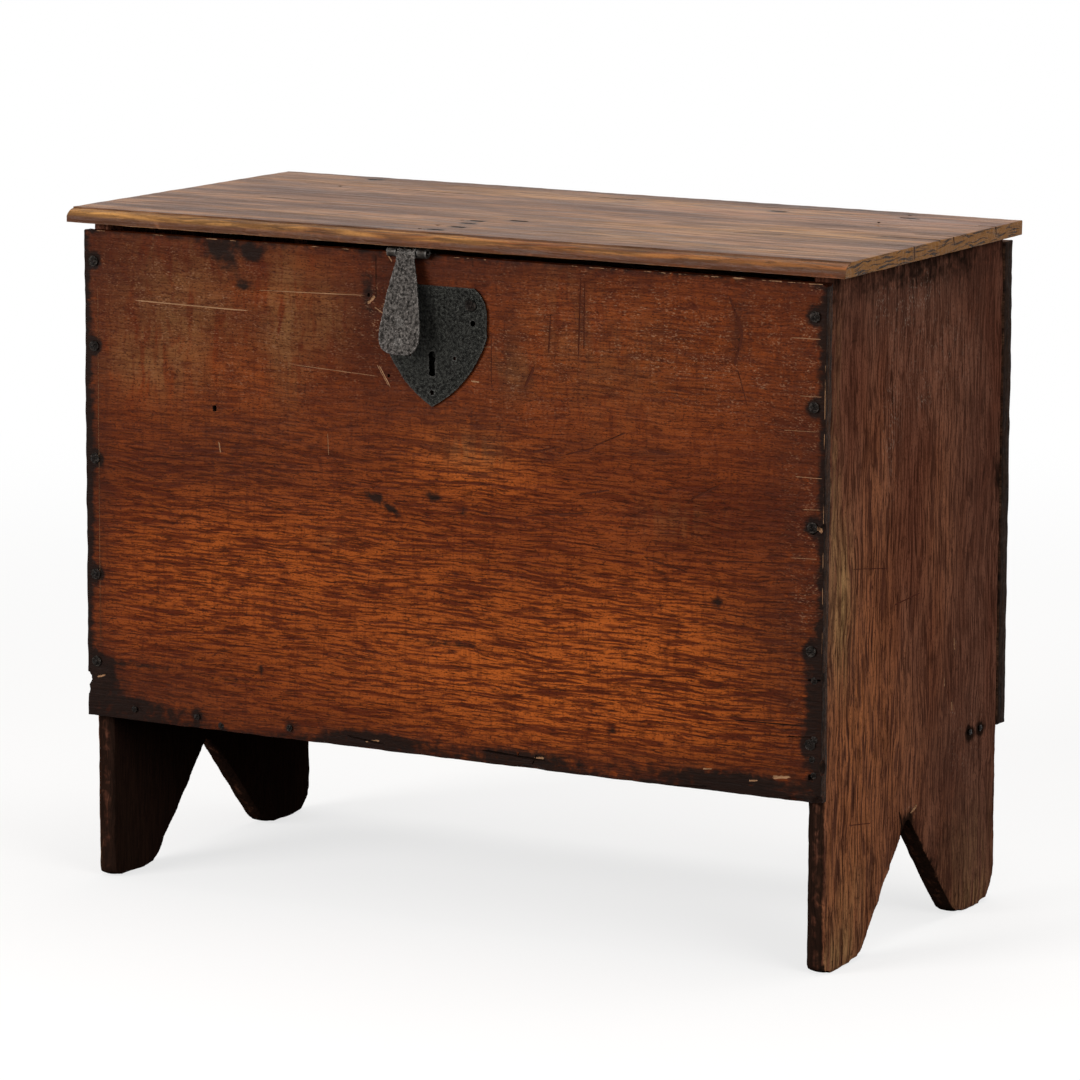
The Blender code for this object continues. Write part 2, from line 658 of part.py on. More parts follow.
def lid_nail_places():
    """Where nails go up through the lid, from the hasp's strap and the hinges' straps."""
    places = [(HASP_X, HASP_Y + reach) for reach in hasp_nail_reaches()]
    for x in HINGES.values():
        places += [(x, HINGE_Y - reach) for reach in hinge_nail_reaches(HINGE_STRAP_LENGTH)]
    return places


def make_board_nails():
    """The nails that hold the carcass together."""
    front = nail_mesh(
        "front_nail", FRONT_THICKNESS + GAP + BOARD_NAIL_BITE - 2 * GAP,
        BOARD_NAIL_RADIUS, BOARD_NAIL_HEAD, BOARD_NAIL_CROWN,
    )
    back = nail_mesh(
        "back_nail", BACK_THICKNESS + GAP + BOARD_NAIL_BITE - 2 * GAP,
        BOARD_NAIL_RADIUS, BOARD_NAIL_HEAD, BOARD_NAIL_CROWN,
    )
    end = nail_mesh(
        "end_nail", END_THICKNESS - HOUSING_DEPTH + BOARD_NAIL_BITE - GAP,
        BOARD_NAIL_RADIUS, BOARD_NAIL_HEAD, BOARD_NAIL_CROWN,
    )
    for side, x in (("left", -NAIL_X), ("right", NAIL_X)):
        for number, height in enumerate(end_nail_heights(), 1):
            nail(f"front_nail_{side}_{number}", front, (x, 0, height), FACES_FRONT, CHEST)
        for number, height in enumerate(back_nail_heights(), 1):
            nail(f"back_nail_{side}_{number}", back, (x, BACK_OUTER, height), FACES_BACK, CHEST)
    for number, x in enumerate(bottom_nail_places(), 1):
        nail(f"bottom_nail_{number}", front, (x, 0, BOTTOM_MIDDLE), FACES_FRONT, CHEST)
    for number, y in enumerate(end_nail_depths(), 1):
        nail(f"end_nail_left_{number}", end, (-END_OUTER, y, BOTTOM_MIDDLE), FACES_LEFT, CHEST)
        nail(f"end_nail_right_{number}", end, (END_OUTER, y, BOTTOM_MIDDLE), FACES_RIGHT, CHEST)


def strap_outline(width, tip_width, length, gap_width, gap_depth):
    """A tapering strap drawn upwards from its axis, with room for a knuckle between its ears."""
    taper = tip_width / 2
    half = [(gap_width / 2, gap_depth), (gap_width / 2, 0.0), (width / 2, 0.0), (width / 2, 2 * gap_depth)]
    half += [(taper, length - taper)]
    half += arc((0.0, length - taper), taper, 0, 90)[1:]
    return mirrored(half)


def tongue_outline(width, tongue, tip_width, length, neck):
    """A tapering strap drawn upwards from its axis, on a narrow tongue for one knuckle."""
    taper = tip_width / 2
    half = [(tongue / 2, 0.0), (tongue / 2, neck), (width / 2, neck), (width / 2, 2 * neck)]
    half += [(taper, length - taper)]
    half += arc((0.0, length - taper), taper, 0, 90)[1:]
    return mirrored(half)


def roll(plate, spans, y, z, radius, bore):
    """Join knuckles along X to a plate, bore them for the pin, and put them on the plate's body."""
    for number, (left, right) in enumerate(spans, 1):
        knuckle = rod(f"{plate.name}_knuckle_{number}", (left, y, z), right - left, radius, FACES_RIGHT)
        joined(plate, carried(knuckle, plate.parent))
    left, right = spans[0][0], spans[-1][1]
    start = (left - radius, y, z)
    pin_bore = rod(f"{plate.name}_pin_bore", start, right - left + 2 * radius, bore, FACES_RIGHT)
    boolean(plate, carried(pin_bore, plate.parent), "DIFFERENCE")
    return plate


def make_hinge(side, x):
    """One strap hinge: its strap under the lid, its leaf inside the back board, its pin and nails."""
    room = HINGE_KNUCKLE_RADIUS + SWING_CLEARANCE
    tongue = HINGE_TONGUE / 2
    ear = tongue + KNUCKLE_GAP
    bore = HINGE_PIN_RADIUS + PIN_CLEARANCE
    strap_nails = hinge_nail_reaches(HINGE_STRAP_LENGTH)
    leaf_nails = hinge_nail_reaches(HINGE_LEAF_LENGTH)

    outline = tongue_outline(HINGE_WIDTH, HINGE_TONGUE, HINGE_TIP_WIDTH, HINGE_STRAP_LENGTH, room)
    holes = [nail_hole((0.0, reach), STRAP_NAIL_RADIUS) for reach in strap_nails]
    height = STRAP_TOP - STRAP_THICKNESS / 2
    forwards = Matrix.Rotation(math.pi, 3, "Z")
    strap = drawn(f"hinge_strap_{side}", [outline] + holes, STRAP_THICKNESS, forwards, (x, HINGE_Y, height))
    finish(strap, LID, IRON_HINGE)
    roll(strap, [(x - tongue, x + tongue)], HINGE_Y, HINGE_Z, HINGE_KNUCKLE_RADIUS, bore)

    outline = strap_outline(HINGE_WIDTH, HINGE_TIP_WIDTH, HINGE_LEAF_LENGTH, 2 * ear, room)
    holes = [nail_hole((0.0, reach), STRAP_NAIL_RADIUS) for reach in leaf_nails]
    depth = BACK_INNER - GAP - STRAP_THICKNESS / 2
    down = Matrix.Rotation(math.pi, 3, "Y") @ UPRIGHT
    leaf = drawn(f"hinge_leaf_{side}", [outline] + holes, STRAP_THICKNESS, down, (x, depth, HINGE_Z))
    finish(leaf, CHEST, IRON_HINGE)
    half = HINGE_WIDTH / 2
    spans = [(x - half, x - ear), (x + ear, x + half)]
    roll(leaf, spans, HINGE_Y, HINGE_Z, HINGE_KNUCKLE_RADIUS, bore)

    start = (x - half, HINGE_Y, HINGE_Z)
    pin = rod(f"hinge_pin_{side}", start, HINGE_WIDTH, HINGE_PIN_RADIUS, FACES_RIGHT, PIN_SIDES)
    finish(pin, CHEST, IRON_HINGE)

    under = STRAP_TOP - STRAP_THICKNESS
    for number, reach in enumerate(strap_nails, 1):
        place = (x, HINGE_Y - reach, under)
        nail(f"hinge_strap_nail_{side}_{number}", LID_NAIL, place, FACES_DOWN, LID)
    face = BACK_INNER - GAP - STRAP_THICKNESS
    for number, reach in enumerate(leaf_nails, 1):
        nail(f"hinge_leaf_nail_{side}_{number}", LEAF_NAIL, (x, face, HINGE_Z - reach), FACES_FRONT, CHEST)


def hasp_outline():
    """The hasp's tongue drawn from its axis down: a taper that widens to a squarish rounded end."""
    neck, wide = (HASP_NECK / 2, -HASP_NECK_LENGTH), (HASP_WIDTH / 2, -HASP_SHOULDER)
    half = [(neck[0], 0.0), neck] + bowed(neck, wide, -HASP_BOW) + [wide]
    for across, up in arc((0.0, 0.0), 1.0, 0, -90, 2 * BOW_STEPS)[1:-1]:
        fall = HASP_ROUND * (-up) ** HASP_SQUARENESS
        half.append((wide[0] * across ** HASP_SQUARENESS, -HASP_SHOULDER - fall))
    return mirrored(half + [(0.0, -HASP_LENGTH)])


def staple_outline():
    """The staple seen from the right: a loop whose two legs are let into the hasp's back."""
    wire = STAPLE_WIRE
    seat = HASP_THICKNESS - STAPLE_TENON
    reach = HASP_THICKNESS + STAPLE_REACH
    outer, inner = STAPLE_HALF, STAPLE_EYE / 2
    points = [(seat, -outer), (reach - wire, -outer)]
    points += arc((reach - wire, -outer + wire), wire, -90, 0)[1:]
    points += arc((reach - wire, outer - wire), wire, 0, 90)
    points += [(seat, outer), (seat, inner), (reach - wire, inner), (reach - wire, -inner), (seat, -inner)]
    return points


def make_hasp():
    """The hasp with its staple, the strap under the lid that carries it, its pin and nails."""
    bore = HASP_PIN_RADIUS + PIN_CLEARANCE
    neck, barrel = HASP_NECK / 2, HASP_BARREL / 2
    ear = neck + KNUCKLE_GAP
    middle = HASP_FACE + HASP_THICKNESS / 2
    hasp = drawn("hasp", [hasp_outline()], HASP_THICKNESS, UPRIGHT, (HASP_X, middle, HASP_Z))
    finish(hasp, HASP, IRON_HASP)
    roll(hasp, [(HASP_X - neck, HASP_X + neck)], HASP_Y, HASP_Z, HASP_KNUCKLE_RADIUS, bore)
    half = STAPLE_WIDTH / 2 + GAP
    for number, side in enumerate((-1, 1), 1):
        leg = HASP_Z - STAPLE_DROP + side * (STAPLE_EYE + STAPLE_WIRE) / 2
        hole = box(
            f"hasp_leg_hole_{number}",
            (HASP_X - half, HASP_BACK - STAPLE_TENON - GAP, leg - STAPLE_WIRE / 2 - GAP),
            (HASP_X + half, HASP_BACK + HASP_THICKNESS, leg + STAPLE_WIRE / 2 + GAP),
        )
        boolean(hasp, carried(hole, HASP), "DIFFERENCE")
    place = (HASP_X, HASP_FACE, HASP_Z - STAPLE_DROP)
    staple = drawn("hasp_staple", [staple_outline()], STAPLE_WIDTH, SIDEWAYS, place)
    finish(staple, HASP, IRON_HASP)

    room = HASP_KNUCKLE_RADIUS + SWING_CLEARANCE
    outline = strap_outline(HASP_BARREL, HASP_STRAP_TIP_WIDTH, HASP_STRAP_LENGTH, 2 * ear, room)
    holes = [nail_hole((0.0, reach), STRAP_NAIL_RADIUS) for reach in hasp_nail_reaches()]
    height = STRAP_TOP - STRAP_THICKNESS / 2
    strap = drawn("hasp_strap", [outline] + holes, STRAP_THICKNESS, FLAT, (HASP_X, HASP_Y, height))
    finish(strap, LID, IRON_HINGE)
    spans = [(HASP_X - barrel, HASP_X - ear), (HASP_X + ear, HASP_X + barrel)]
    roll(strap, spans, HASP_Y, HASP_Z, HASP_KNUCKLE_RADIUS, bore)

    start = (HASP_X - barrel, HASP_Y, HASP_Z)
    pin = rod("hasp_pin", start, HASP_BARREL, HASP_PIN_RADIUS, FACES_RIGHT, PIN_SIDES)
    finish(pin, LID, IRON_HASP)
    under = STRAP_TOP - STRAP_THICKNESS
    for number, reach in enumerate(hasp_nail_reaches(), 1):
        nail(f"hasp_strap_nail_{number}", LID_NAIL, (HASP_X, HASP_Y + reach, under), FACES_DOWN, LID)


def plate_outline():
    """The lock plate about its keyhole, drawn down from its upper edge: a shield cut by eye."""
    tip = (0.0, PLATE_TIP - PLATE_TOP)
    corner, shoulder = (PLATE_RIGHT - PLATE_RIGHT_CORNER_WIDTH, 0.0), (PLATE_RIGHT, -PLATE_RIGHT_CORNER_DROP)
    right, left = (PLATE_RIGHT, -PLATE_SIDE), (-PLATE_LEFT, -PLATE_SIDE)
    points = [corner] + bowed(corner, shoulder, -PLATE_RIGHT_CORNER_BOW) + [shoulder, right]
    points += bowed(right, tip, -PLATE_BOW) + [tip] + bowed(tip, left, -PLATE_BOW)
    cut_corner = (PLATE_LEFT_CORNER_WIDTH - PLATE_LEFT, 0.0)
    return points + [left, (-PLATE_LEFT, -PLATE_LEFT_CORNER_DROP), cut_corner]


def keyhole_outline():
    """The keyhole about the plate's middle: a round end over a slot."""
    slot = KEYHOLE_SLOT_WIDTH / 2
    lean = math.degrees(math.asin(slot / KEYHOLE_RADIUS))
    points = arc((0.0, KEY_Z - PLATE_TOP), KEYHOLE_RADIUS, -90 + lean, 270 - lean, 2 * ARC_STEPS)
    foot = KEYHOLE_FOOT - PLATE_TOP
    return points + [(-slot, foot), (slot, foot)]


def staple_slot_outline():
    """The slot that the hasp's staple enters, about the plate's middle."""
    half = STAPLE_WIDTH / 2 + SLOT_CLEARANCE
    left, right = HASP_X - LOCK_X - half, HASP_X - LOCK_X + half
    reach = STAPLE_HALF + SLOT_RISE
    low, high = BOLT_Z - PLATE_TOP - reach, BOLT_Z - PLATE_TOP + reach
    return [(left, low), (right, low), (right, high), (left, high)]


def make_lock_plate():
    """The iron plate on the front board, with its keyhole, its slot and its nail holes."""
    holes = [keyhole_outline(), staple_slot_outline()]
    for x, z in plate_hole_places():
        holes.append(nail_hole((x - LOCK_X, z - PLATE_TOP), STRAP_NAIL_RADIUS))
    holes.append(ring((PLATE_RIGHT - SPARE_HOLE_EDGE, -SPARE_HOLE_DROP), SPARE_HOLE_RADIUS))
    for side in (-1, 1):
        holes.append(ring((side * RIVET_HOLE_SPREAD, -RIVET_HOLE_DROP), RIVET_HOLE_RADIUS))
    place = (LOCK_X, PLATE_BACK - PLATE_THICKNESS / 2, PLATE_TOP)
    plate = drawn("lock_plate", [plate_outline()] + holes, PLATE_THICKNESS, UPRIGHT, place)
    return finish(plate, CHEST, IRON_LOCK)


def make_lock_works():
    """What lies behind the plate: the bolt in its guides, its spring, the key's pin and the cover."""
    low, high = BOLT_Z - BOLT_HEIGHT / 2, BOLT_Z + BOLT_HEIGHT / 2
    notch = LOCK_X - BOLT_NOTCH_WIDTH / 2, LOCK_X + BOLT_NOTCH_WIDTH / 2
    outline = [
        (BOLT_NOSE, low), (notch[0], low), (notch[0], low + BOLT_NOTCH_DEPTH),
        (notch[1], low + BOLT_NOTCH_DEPTH), (notch[1], low), (BOLT_TAIL, low), (BOLT_TAIL, high),
        (BOLT_NOSE, high),
    ]
    middle = (BOLT_FRONT + BOLT_BACK) / 2
    bolt = drawn("lock_bolt", [outline], BOLT_THICKNESS, UPRIGHT, (0, middle, 0))
    finish(bolt, BOLT, IRON_LOCK)

    inner, outer = BOLT_HEIGHT / 2 + GAP, BOLT_HEIGHT / 2 + GAP + GUIDE_WIRE
    hollow = BOLT_THICKNESS + GAP
    bridge = [
        (0.0, -outer), (hollow + GUIDE_WIRE, -outer), (hollow + GUIDE_WIRE, outer), (0.0, outer),
        (0.0, inner), (hollow, inner), (hollow, -inner), (0.0, -inner),
    ]
    for side, x in (("left", GUIDE_LEFT_X), ("right", GUIDE_RIGHT_X)):
        place = (x, BOLT_FRONT, BOLT_Z)
        guide = drawn(f"bolt_guide_{side}", [bridge], GUIDE_WIDTH, SIDEWAYS, place)
        finish(guide, CHEST, IRON_LOCK)

    first = GUIDE_LEFT_X + GUIDE_WIDTH / 2 + GAP
    last = GUIDE_RIGHT_X - GUIDE_WIDTH / 2 - GAP
    seat = high + GAP
    lower = [(first, seat)] + bowed((first, seat), (last, seat), -SPRING_ARCH) + [(last, seat)]
    upper = [(x, z + SPRING_THICKNESS) for x, z in reversed(lower)]
    place = (0, BOLT_FRONT + SPRING_WIDTH / 2, 0)
    spring = drawn("bolt_spring", [lower + upper], SPRING_WIDTH, UPRIGHT, place)
    finish(spring, CHEST, IRON_LOCK)

    tip = PLATE_BACK + KEY_PIN_TIP
    start = (LOCK_X, COVER_FRONT - GAP, KEY_Z)
    pin = rod("key_pin", start, COVER_FRONT - GAP - tip, KEY_PIN_RADIUS, FACES_FRONT, PIN_SIDES)
    finish(pin, CHEST, IRON_LOCK)

    left = min(x for x, _ in plate_nail_places()) - COVER_EDGE
    right = max(x for x, _ in plate_nail_places()) + COVER_EDGE
    foot, head = PLATE_HOLE_Z - COVER_EDGE, PLATE_NAIL_Z + COVER_EDGE
    edge = [(left, foot), (right, foot), (right, head), (left, head)]
    holes = [nail_hole(place, STRAP_NAIL_RADIUS) for place in plate_nail_places()]
    place = (0, COVER_FRONT + COVER_THICKNESS / 2, 0)
    cover = drawn("lock_cover", [edge] + holes, COVER_THICKNESS, UPRIGHT, place)
    finish(cover, CHEST, IRON_LOCK)

    face = PLATE_BACK - PLATE_THICKNESS
    for number, (x, z) in enumerate(plate_nail_places(), 1):
        nail(f"lock_plate_nail_{number}", PLATE_NAIL, (x, face, z), FACES_FRONT, CHEST)


def main():
    """Make the whole chest."""
    make_front_board()
    make_back_board()
    make_end_board("left_end_board", -1)
    make_end_board("right_end_board", 1)
    make_bottom_board()
    make_lid_board()
    make_board_nails()
    for side, x in HINGES.items():
        make_hinge(side, x)
    make_hasp()
    make_lock_plate()
    make_lock_works()
    HASP.rotation_euler.x = -HASP_TILT


clear_scene()
PARTS = new_collection("boarded_chest")
CUTTERS = new_collection("boarded_chest_cutters")

OAK_FRONT = material("oak_front", (0.15, 0.062, 0.030), 0.45, 0.0)
OAK_BACK = material("oak_back", (0.11, 0.060, 0.036), 0.65, 0.0)
OAK_END = material("oak_end", (0.095, 0.045, 0.027), 0.55, 0.0)
OAK_INSIDE = material("oak_inside", (0.15, 0.095, 0.058), 0.75, 0.0)
OAK_LID = material("oak_lid", (0.17, 0.105, 0.066), 0.40, 0.0)
IRON_NAIL = material("iron_nail", (0.030, 0.026, 0.024), 0.60, 0.9)
IRON_HINGE = material("iron_hinge", (0.038, 0.034, 0.032), 0.60, 0.9)
IRON_HASP = material("iron_hasp", (0.075, 0.070, 0.068), 0.50, 0.9)
IRON_LOCK = material("iron_lock", (0.042, 0.039, 0.038), 0.55, 0.9)

HINGES = {"left": HINGE_LEFT_EDGE - BOARD_LENGTH / 2, "right": BOARD_LENGTH / 2 - HINGE_RIGHT_EDGE}
CHEST = empty("carcass", None, CHEST_OFFSET)
LID = empty("lid_axis", CHEST, Vector((0, HINGE_Y, HINGE_Z)))
HASP = empty("hasp_axis", LID, Vector((HASP_X, HASP_Y, HASP_Z)))
BOLT = empty("bolt_axis", CHEST, Vector((BOLT_NOSE, (BOLT_FRONT + BOLT_BACK) / 2, BOLT_Z)))

LID_NAIL = nail_mesh(
    "lid_nail", STRAP_THICKNESS + GAP + LID_THICKNESS + CLENCH,
    STRAP_NAIL_RADIUS, STRAP_NAIL_HEAD, STRAP_NAIL_CROWN,
)
LEAF_NAIL = nail_mesh(
    "leaf_nail", STRAP_THICKNESS + GAP + BACK_THICKNESS + CLENCH,
    STRAP_NAIL_RADIUS, STRAP_NAIL_HEAD, STRAP_NAIL_CROWN,
)
PLATE_NAIL = nail_mesh(
    "plate_nail", PLATE_THICKNESS + GAP + FRONT_THICKNESS + GAP + COVER_THICKNESS + CLENCH,
    STRAP_NAIL_RADIUS, STRAP_NAIL_HEAD, STRAP_NAIL_CROWN,
)

main()
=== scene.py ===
"""Looks of a boarded oak chest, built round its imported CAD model.

Every place and size comes from the CAD nodes. A board is a block that is divided, eased, weathered
and then fitted to its CAD solid, so that nail holes, rebates and the lock's mortise stay where they
are. Ironwork is forged from the CAD solids, and every nail is a copy of one hammered nail. Places in
the tables of marks are millimetres: across from the front board's left end, back from its face and
up from the floor. All other lengths are metres, unless their names end in mm.
"""

from __future__ import annotations

import logging
import math
from contextlib import contextmanager
from dataclasses import dataclass, field
from enum import Enum
from typing import Any, Callable, Iterable, Iterator, Mapping, Sequence

import bmesh
import bpy
import numpy as np
from mathutils import Matrix, Vector, kdtree


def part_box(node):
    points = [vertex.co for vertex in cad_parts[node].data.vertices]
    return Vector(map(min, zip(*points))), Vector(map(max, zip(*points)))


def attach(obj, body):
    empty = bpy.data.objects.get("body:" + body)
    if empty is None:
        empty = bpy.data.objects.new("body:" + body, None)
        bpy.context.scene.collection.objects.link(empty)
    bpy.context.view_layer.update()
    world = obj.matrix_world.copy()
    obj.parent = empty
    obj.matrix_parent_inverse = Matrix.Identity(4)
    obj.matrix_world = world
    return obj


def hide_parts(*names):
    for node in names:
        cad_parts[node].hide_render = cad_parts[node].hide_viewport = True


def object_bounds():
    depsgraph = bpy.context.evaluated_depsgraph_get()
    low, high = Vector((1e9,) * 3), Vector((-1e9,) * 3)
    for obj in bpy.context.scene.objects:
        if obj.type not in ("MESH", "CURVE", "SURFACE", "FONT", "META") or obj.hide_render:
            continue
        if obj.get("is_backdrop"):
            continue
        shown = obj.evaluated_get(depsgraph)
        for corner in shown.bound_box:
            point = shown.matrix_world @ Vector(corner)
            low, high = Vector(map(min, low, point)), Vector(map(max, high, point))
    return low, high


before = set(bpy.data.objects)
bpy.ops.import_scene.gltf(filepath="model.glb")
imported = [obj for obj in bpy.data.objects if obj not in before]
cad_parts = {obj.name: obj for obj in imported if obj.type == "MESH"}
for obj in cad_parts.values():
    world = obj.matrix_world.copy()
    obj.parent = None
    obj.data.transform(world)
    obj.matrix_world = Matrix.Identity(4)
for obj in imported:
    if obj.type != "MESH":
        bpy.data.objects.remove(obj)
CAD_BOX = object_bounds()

LOG = logging.getLogger("chest")
MM = 0.001
WELD = 1e-6  # points nearer than this are one point
SHARP = math.radians(40)  # edges sharper than this stay sharp
CORNER = math.radians(60)  # edges sharper than this are a sawn block's corners
LEAST_WEIGHT = 0.004  # points with less weight than this are left out of a vertex group
SLIVER_SIDES = 6
SLIVER_CUTS = 9  # how many times a sliver is cut along its length
SLIVER_TIP = (1, 0.12, 0.3)  # the size of its ends, as shares of its middle's
SLIVER_WANDER = 0.16  # how far its edge wanders, as a share of its width
BITE_RAGGED = 0.05  # how ragged a broken face is, as a share of the bite's size

Rows = tuple[tuple[float, ...], ...]


class Kind(Enum):
    """Shader nodes, by what they do here."""

    PLACE = "ShaderNodeTexCoord"
    STRETCH = "ShaderNodeMapping"
    NOISE = "ShaderNodeTexNoise"
    CELLS = "ShaderNodeTexVoronoi"
    SUM = "ShaderNodeMath"
    SHIFT = "ShaderNodeVectorMath"
    RANGE = "ShaderNodeMapRange"
    MIX = "ShaderNodeMix"
    BUMP = "ShaderNodeBump"
    MARK = "ShaderNodeAttribute"
    RAY = "ShaderNodeLightPath"


class Grain(Enum):
    """The axis that a board's grain runs along."""

    LEVEL = 0
    UPRIGHT = 2

    def scale(self, along_mm: float, across_mm: float) -> tuple[float, ...]:
        """Repeats per metre of a pattern this long along the grain and this wide across it."""
        return tuple(1 / (MM * (along_mm if axis == self.value else across_mm)) for axis in range(3))


class Pick(Enum):
    """What is selected: Blender's select mode, and the list of a bmesh that holds it."""

    POINTS = ("VERT", "verts")
    EDGES = ("EDGE", "edges")
    FACES = ("FACE", "faces")


class Mark(Enum):
    """What wear leaves on a surface, and where shade, light and glints are painted. Each is an attribute that
    the finishes read.
    """

    EDGE = "edge"
    ENDS = "ends"
    GRAIN = "grain"
    # stains and dirt, and painted shade low on faces turned from the show face and along the top of the end
    # boards
    STAIN = "stain"
    # wear, and on the lid's moulding a painted golden light
    RUB = "rub"
    GLOW = "glow"
    # dust, and pale flecks that are painted glints
    DUST = "dust"
    # painted shade
    SHADE = "shade"


class Face(Enum):
    """A board's show face: the axes of its marks, and the way it looks."""

    FRONT = ((0, 2), (0, -1, 0))
    BACK = ((0, 2), (0, 1, 0))
    LEFT = ((1, 2), (-1, 0, 0))
    RIGHT = ((1, 2), (1, 0, 0))
    TOP = ((0, 1), (0, 0, 1))


class Scar(Enum):
    """What a scar shows, by the name of its finish: pale wood, also as a painted highlight, a split blackened
    with painted shade, or a brown ray of the oak.
    """

    PALE = "scratch"
    DARK = "crack"
    BROWN = "ray"


@dataclass(frozen=True)
class Patch:
    """A soft oval mark on a board's show face, in millimetres."""

    mark: Mark
    at: tuple[float, float]
    size: tuple[float, float]
    strength: float = 1.0
    turn: float = 0.0


@dataclass(frozen=True)
class Cut:
    """A split, scratch or chip in a board's show face, in millimetres, from one place to another."""

    start: tuple[float, float]
    end: tuple[float, float]
    width: float
    depth: float
    scar: Scar = Scar.DARK


@dataclass(frozen=True)
class Bite:
    """A piece broken out of a board, in millimetres: the middle of the hole and its half sizes."""

    at: tuple[float, float, float]
    size: tuple[float, float, float]


def linear(colour: str) -> tuple[float, float, float, float]:
    """Turn an sRGB hex colour to linear light.

    Args:
        colour: Six hex digits after a hash sign.

    Returns:
        Red, green, blue and an alpha of 1.
    """
    shares = [int(colour[place:place + 2], 16) / 255 for place in (1, 3, 5)]
    bent = [share / 12.92 if share <= 0.04045 else ((share + 0.055) / 1.055) ** 2.4 for share in shares]
    return bent[0], bent[1], bent[2], 1.0


def add(
    tree: bpy.types.NodeTree, kind: Kind, inputs: Mapping[str | int, Any] | None = None, output: str = "",
    **settings: Any,
) -> bpy.types.NodeSocket:
    """Add one node with its settings, values and links.

    Args:
        tree: The material's or world's nodes.
        kind: The node to add.
        inputs: By name or number, a socket to link or a value to set.
        output: The output wanted, if it isn't the first in use.
        settings: The node's own properties.

    Returns:
        The output.
    """
    node = tree.nodes.new(kind.value)
    for name, value in settings.items():
        setattr(node, name, value)
    for key, value in (inputs or {}).items():
        named = [socket for socket in node.inputs if socket.enabled and socket.name == key]
        socket = named[0] if named else node.inputs[key]
        if isinstance(value, bpy.types.NodeSocket):
            tree.links.new(value, socket)
        else:
            socket.default_value = value
    return node.outputs[output] if output else next(socket for socket in node.outputs if socket.enabled)


def times(
    tree: bpy.types.NodeTree, first: Any, second: Any, plus: Any = None,
) -> bpy.types.NodeSocket:
    """Multiply two factors, and add a third if there is one.

    Args:
        tree: The nodes to add to.
        first: A socket or a number.
        second: A socket or a number.
        plus: A socket or a number, or nothing.

    Returns:
        The result.
    """
    if plus is None:
        return add(tree, Kind.SUM, {0: first, 1: second}, operation="MULTIPLY")
    return add(tree, Kind.SUM, {0: first, 1: second, 2: plus}, operation="MULTIPLY_ADD")


def blend(tree: bpy.types.NodeTree, factor: Any, first: Any, second: Any) -> bpy.types.NodeSocket:
    """Mix two colours: the first where the factor is 0, the second where it is 1."""
    return add(tree, Kind.MIX, {"Factor": factor, "A": first, "B": second}, data_type="RGBA")


def ramp(
    tree: bpy.types.NodeTree, value: Any, low: float, high: float, most: float = 1.0,
) -> bpy.types.NodeSocket:
    """Rise softly from 0, where a value is low, to the most that is wanted, where it is high."""
    inputs = {"Value": value, "From Min": low, "From Max": high, "To Max": most}
    return add(tree, Kind.RANGE, inputs, interpolation_type="SMOOTHSTEP")


def spread(tree: bpy.types.NodeTree, noise: Any, ends: tuple[float, float]) -> bpy.types.NodeSocket:
    """Stretch the middle of a noise, where most of its values lie, between two ends."""
    inputs = {"Value": noise, "From Min": 0.3, "From Max": 0.7, "To Min": ends[0], "To Max": ends[1]}
    return add(tree, Kind.RANGE, inputs)


def blank(name: str) -> tuple[bpy.types.Material, bpy.types.NodeTree, bpy.types.Node]:
    """Start a material.

    Args:
        name: The material's name.

    Returns:
        The material, its nodes and its Principled shader.
    """
    made = bpy.data.materials.new(name)
    made.use_nodes = True
    return made, made.node_tree, made.node_tree.nodes["Principled BSDF"]


def select_only(obj: bpy.types.Object) -> None:
    """Deselect everything else and make this the active object.

    Args:
        obj: The object.
    """
    bpy.ops.object.select_all(action="DESELECT")
    obj.select_set(True)
    bpy.context.view_layer.objects.active = obj


@contextmanager
def editing(obj: bpy.types.Object) -> Iterator[None]:
    """Hold an object in edit mode, with nothing of it selected at first.

    Args:
        obj: The object.

    Yields:
        Nothing, once it is in edit mode.
    """
    select_only(obj)
    bpy.ops.object.mode_set(mode="EDIT")
    bpy.ops.mesh.select_all(action="DESELECT")
    yield
    bpy.ops.object.mode_set(mode="OBJECT")


def pick(obj: bpy.types.Object, kind: Pick, test: Callable[[Any], bool]) -> None:
    """Select, in edit mode, just the parts of a mesh that pass a test.

    Args:
        obj: The object in edit mode.
        kind: Points, edges or faces.
        test: Says of each one whether it is selected.
    """
    mode, parts = kind.value
    bpy.ops.mesh.select_mode(type=mode)
    bpy.ops.mesh.select_all(action="DESELECT")
    shape = bmesh.from_edit_mesh(obj.data)
    for part in getattr(shape, parts):
        if test(part):
            part.select_set(True)
    shape.select_flush_mode()
    bmesh.update_edit_mesh(obj.data)


def runs_along(edge: bmesh.types.BMEdge, axis: int) -> bool:
    """Whether an edge runs along an axis."""
    way = edge.verts[1].co - edge.verts[0].co
    return abs(way[axis]) > 0.99 * way.length


def divide(obj: bpy.types.Object, axis: int, cuts: Iterable[int]) -> None:
    """Cut every edge that runs along an axis.

    Args:
        obj: A block.
        axis: 0, 1 or 2.
        cuts: How many cuts to make in each pass.
    """
    with editing(obj):
        for count in cuts:
            pick(obj, Pick.EDGES, lambda edge: runs_along(edge, axis))
            bpy.ops.mesh.subdivide(number_cuts=count)


def settle(obj: bpy.types.Object, name: str) -> bpy.types.Object:
    """Put a new object's place, turn and size into its mesh, and name it.

    Args:
        obj: The object.
        name: Its name, and its mesh's.

    Returns:
        The object.
    """
    obj.name = name
    obj.data.name = name
    select_only(obj)
    bpy.ops.object.transform_apply(location=True, rotation=True, scale=True)
    return obj


def block(name: str, low: Vector, high: Vector) -> bpy.types.Object:
    """Add a block between two corners.

    Args:
        name: The object's name.
        low: Its lowest corner.
        high: Its highest corner.

    Returns:
        The object.
    """
    bpy.ops.object.select_all(action="DESELECT")
    bpy.ops.mesh.primitive_cube_add(size=1.0, location=(low + high) / 2, scale=high - low)
    return settle(bpy.context.object, name)


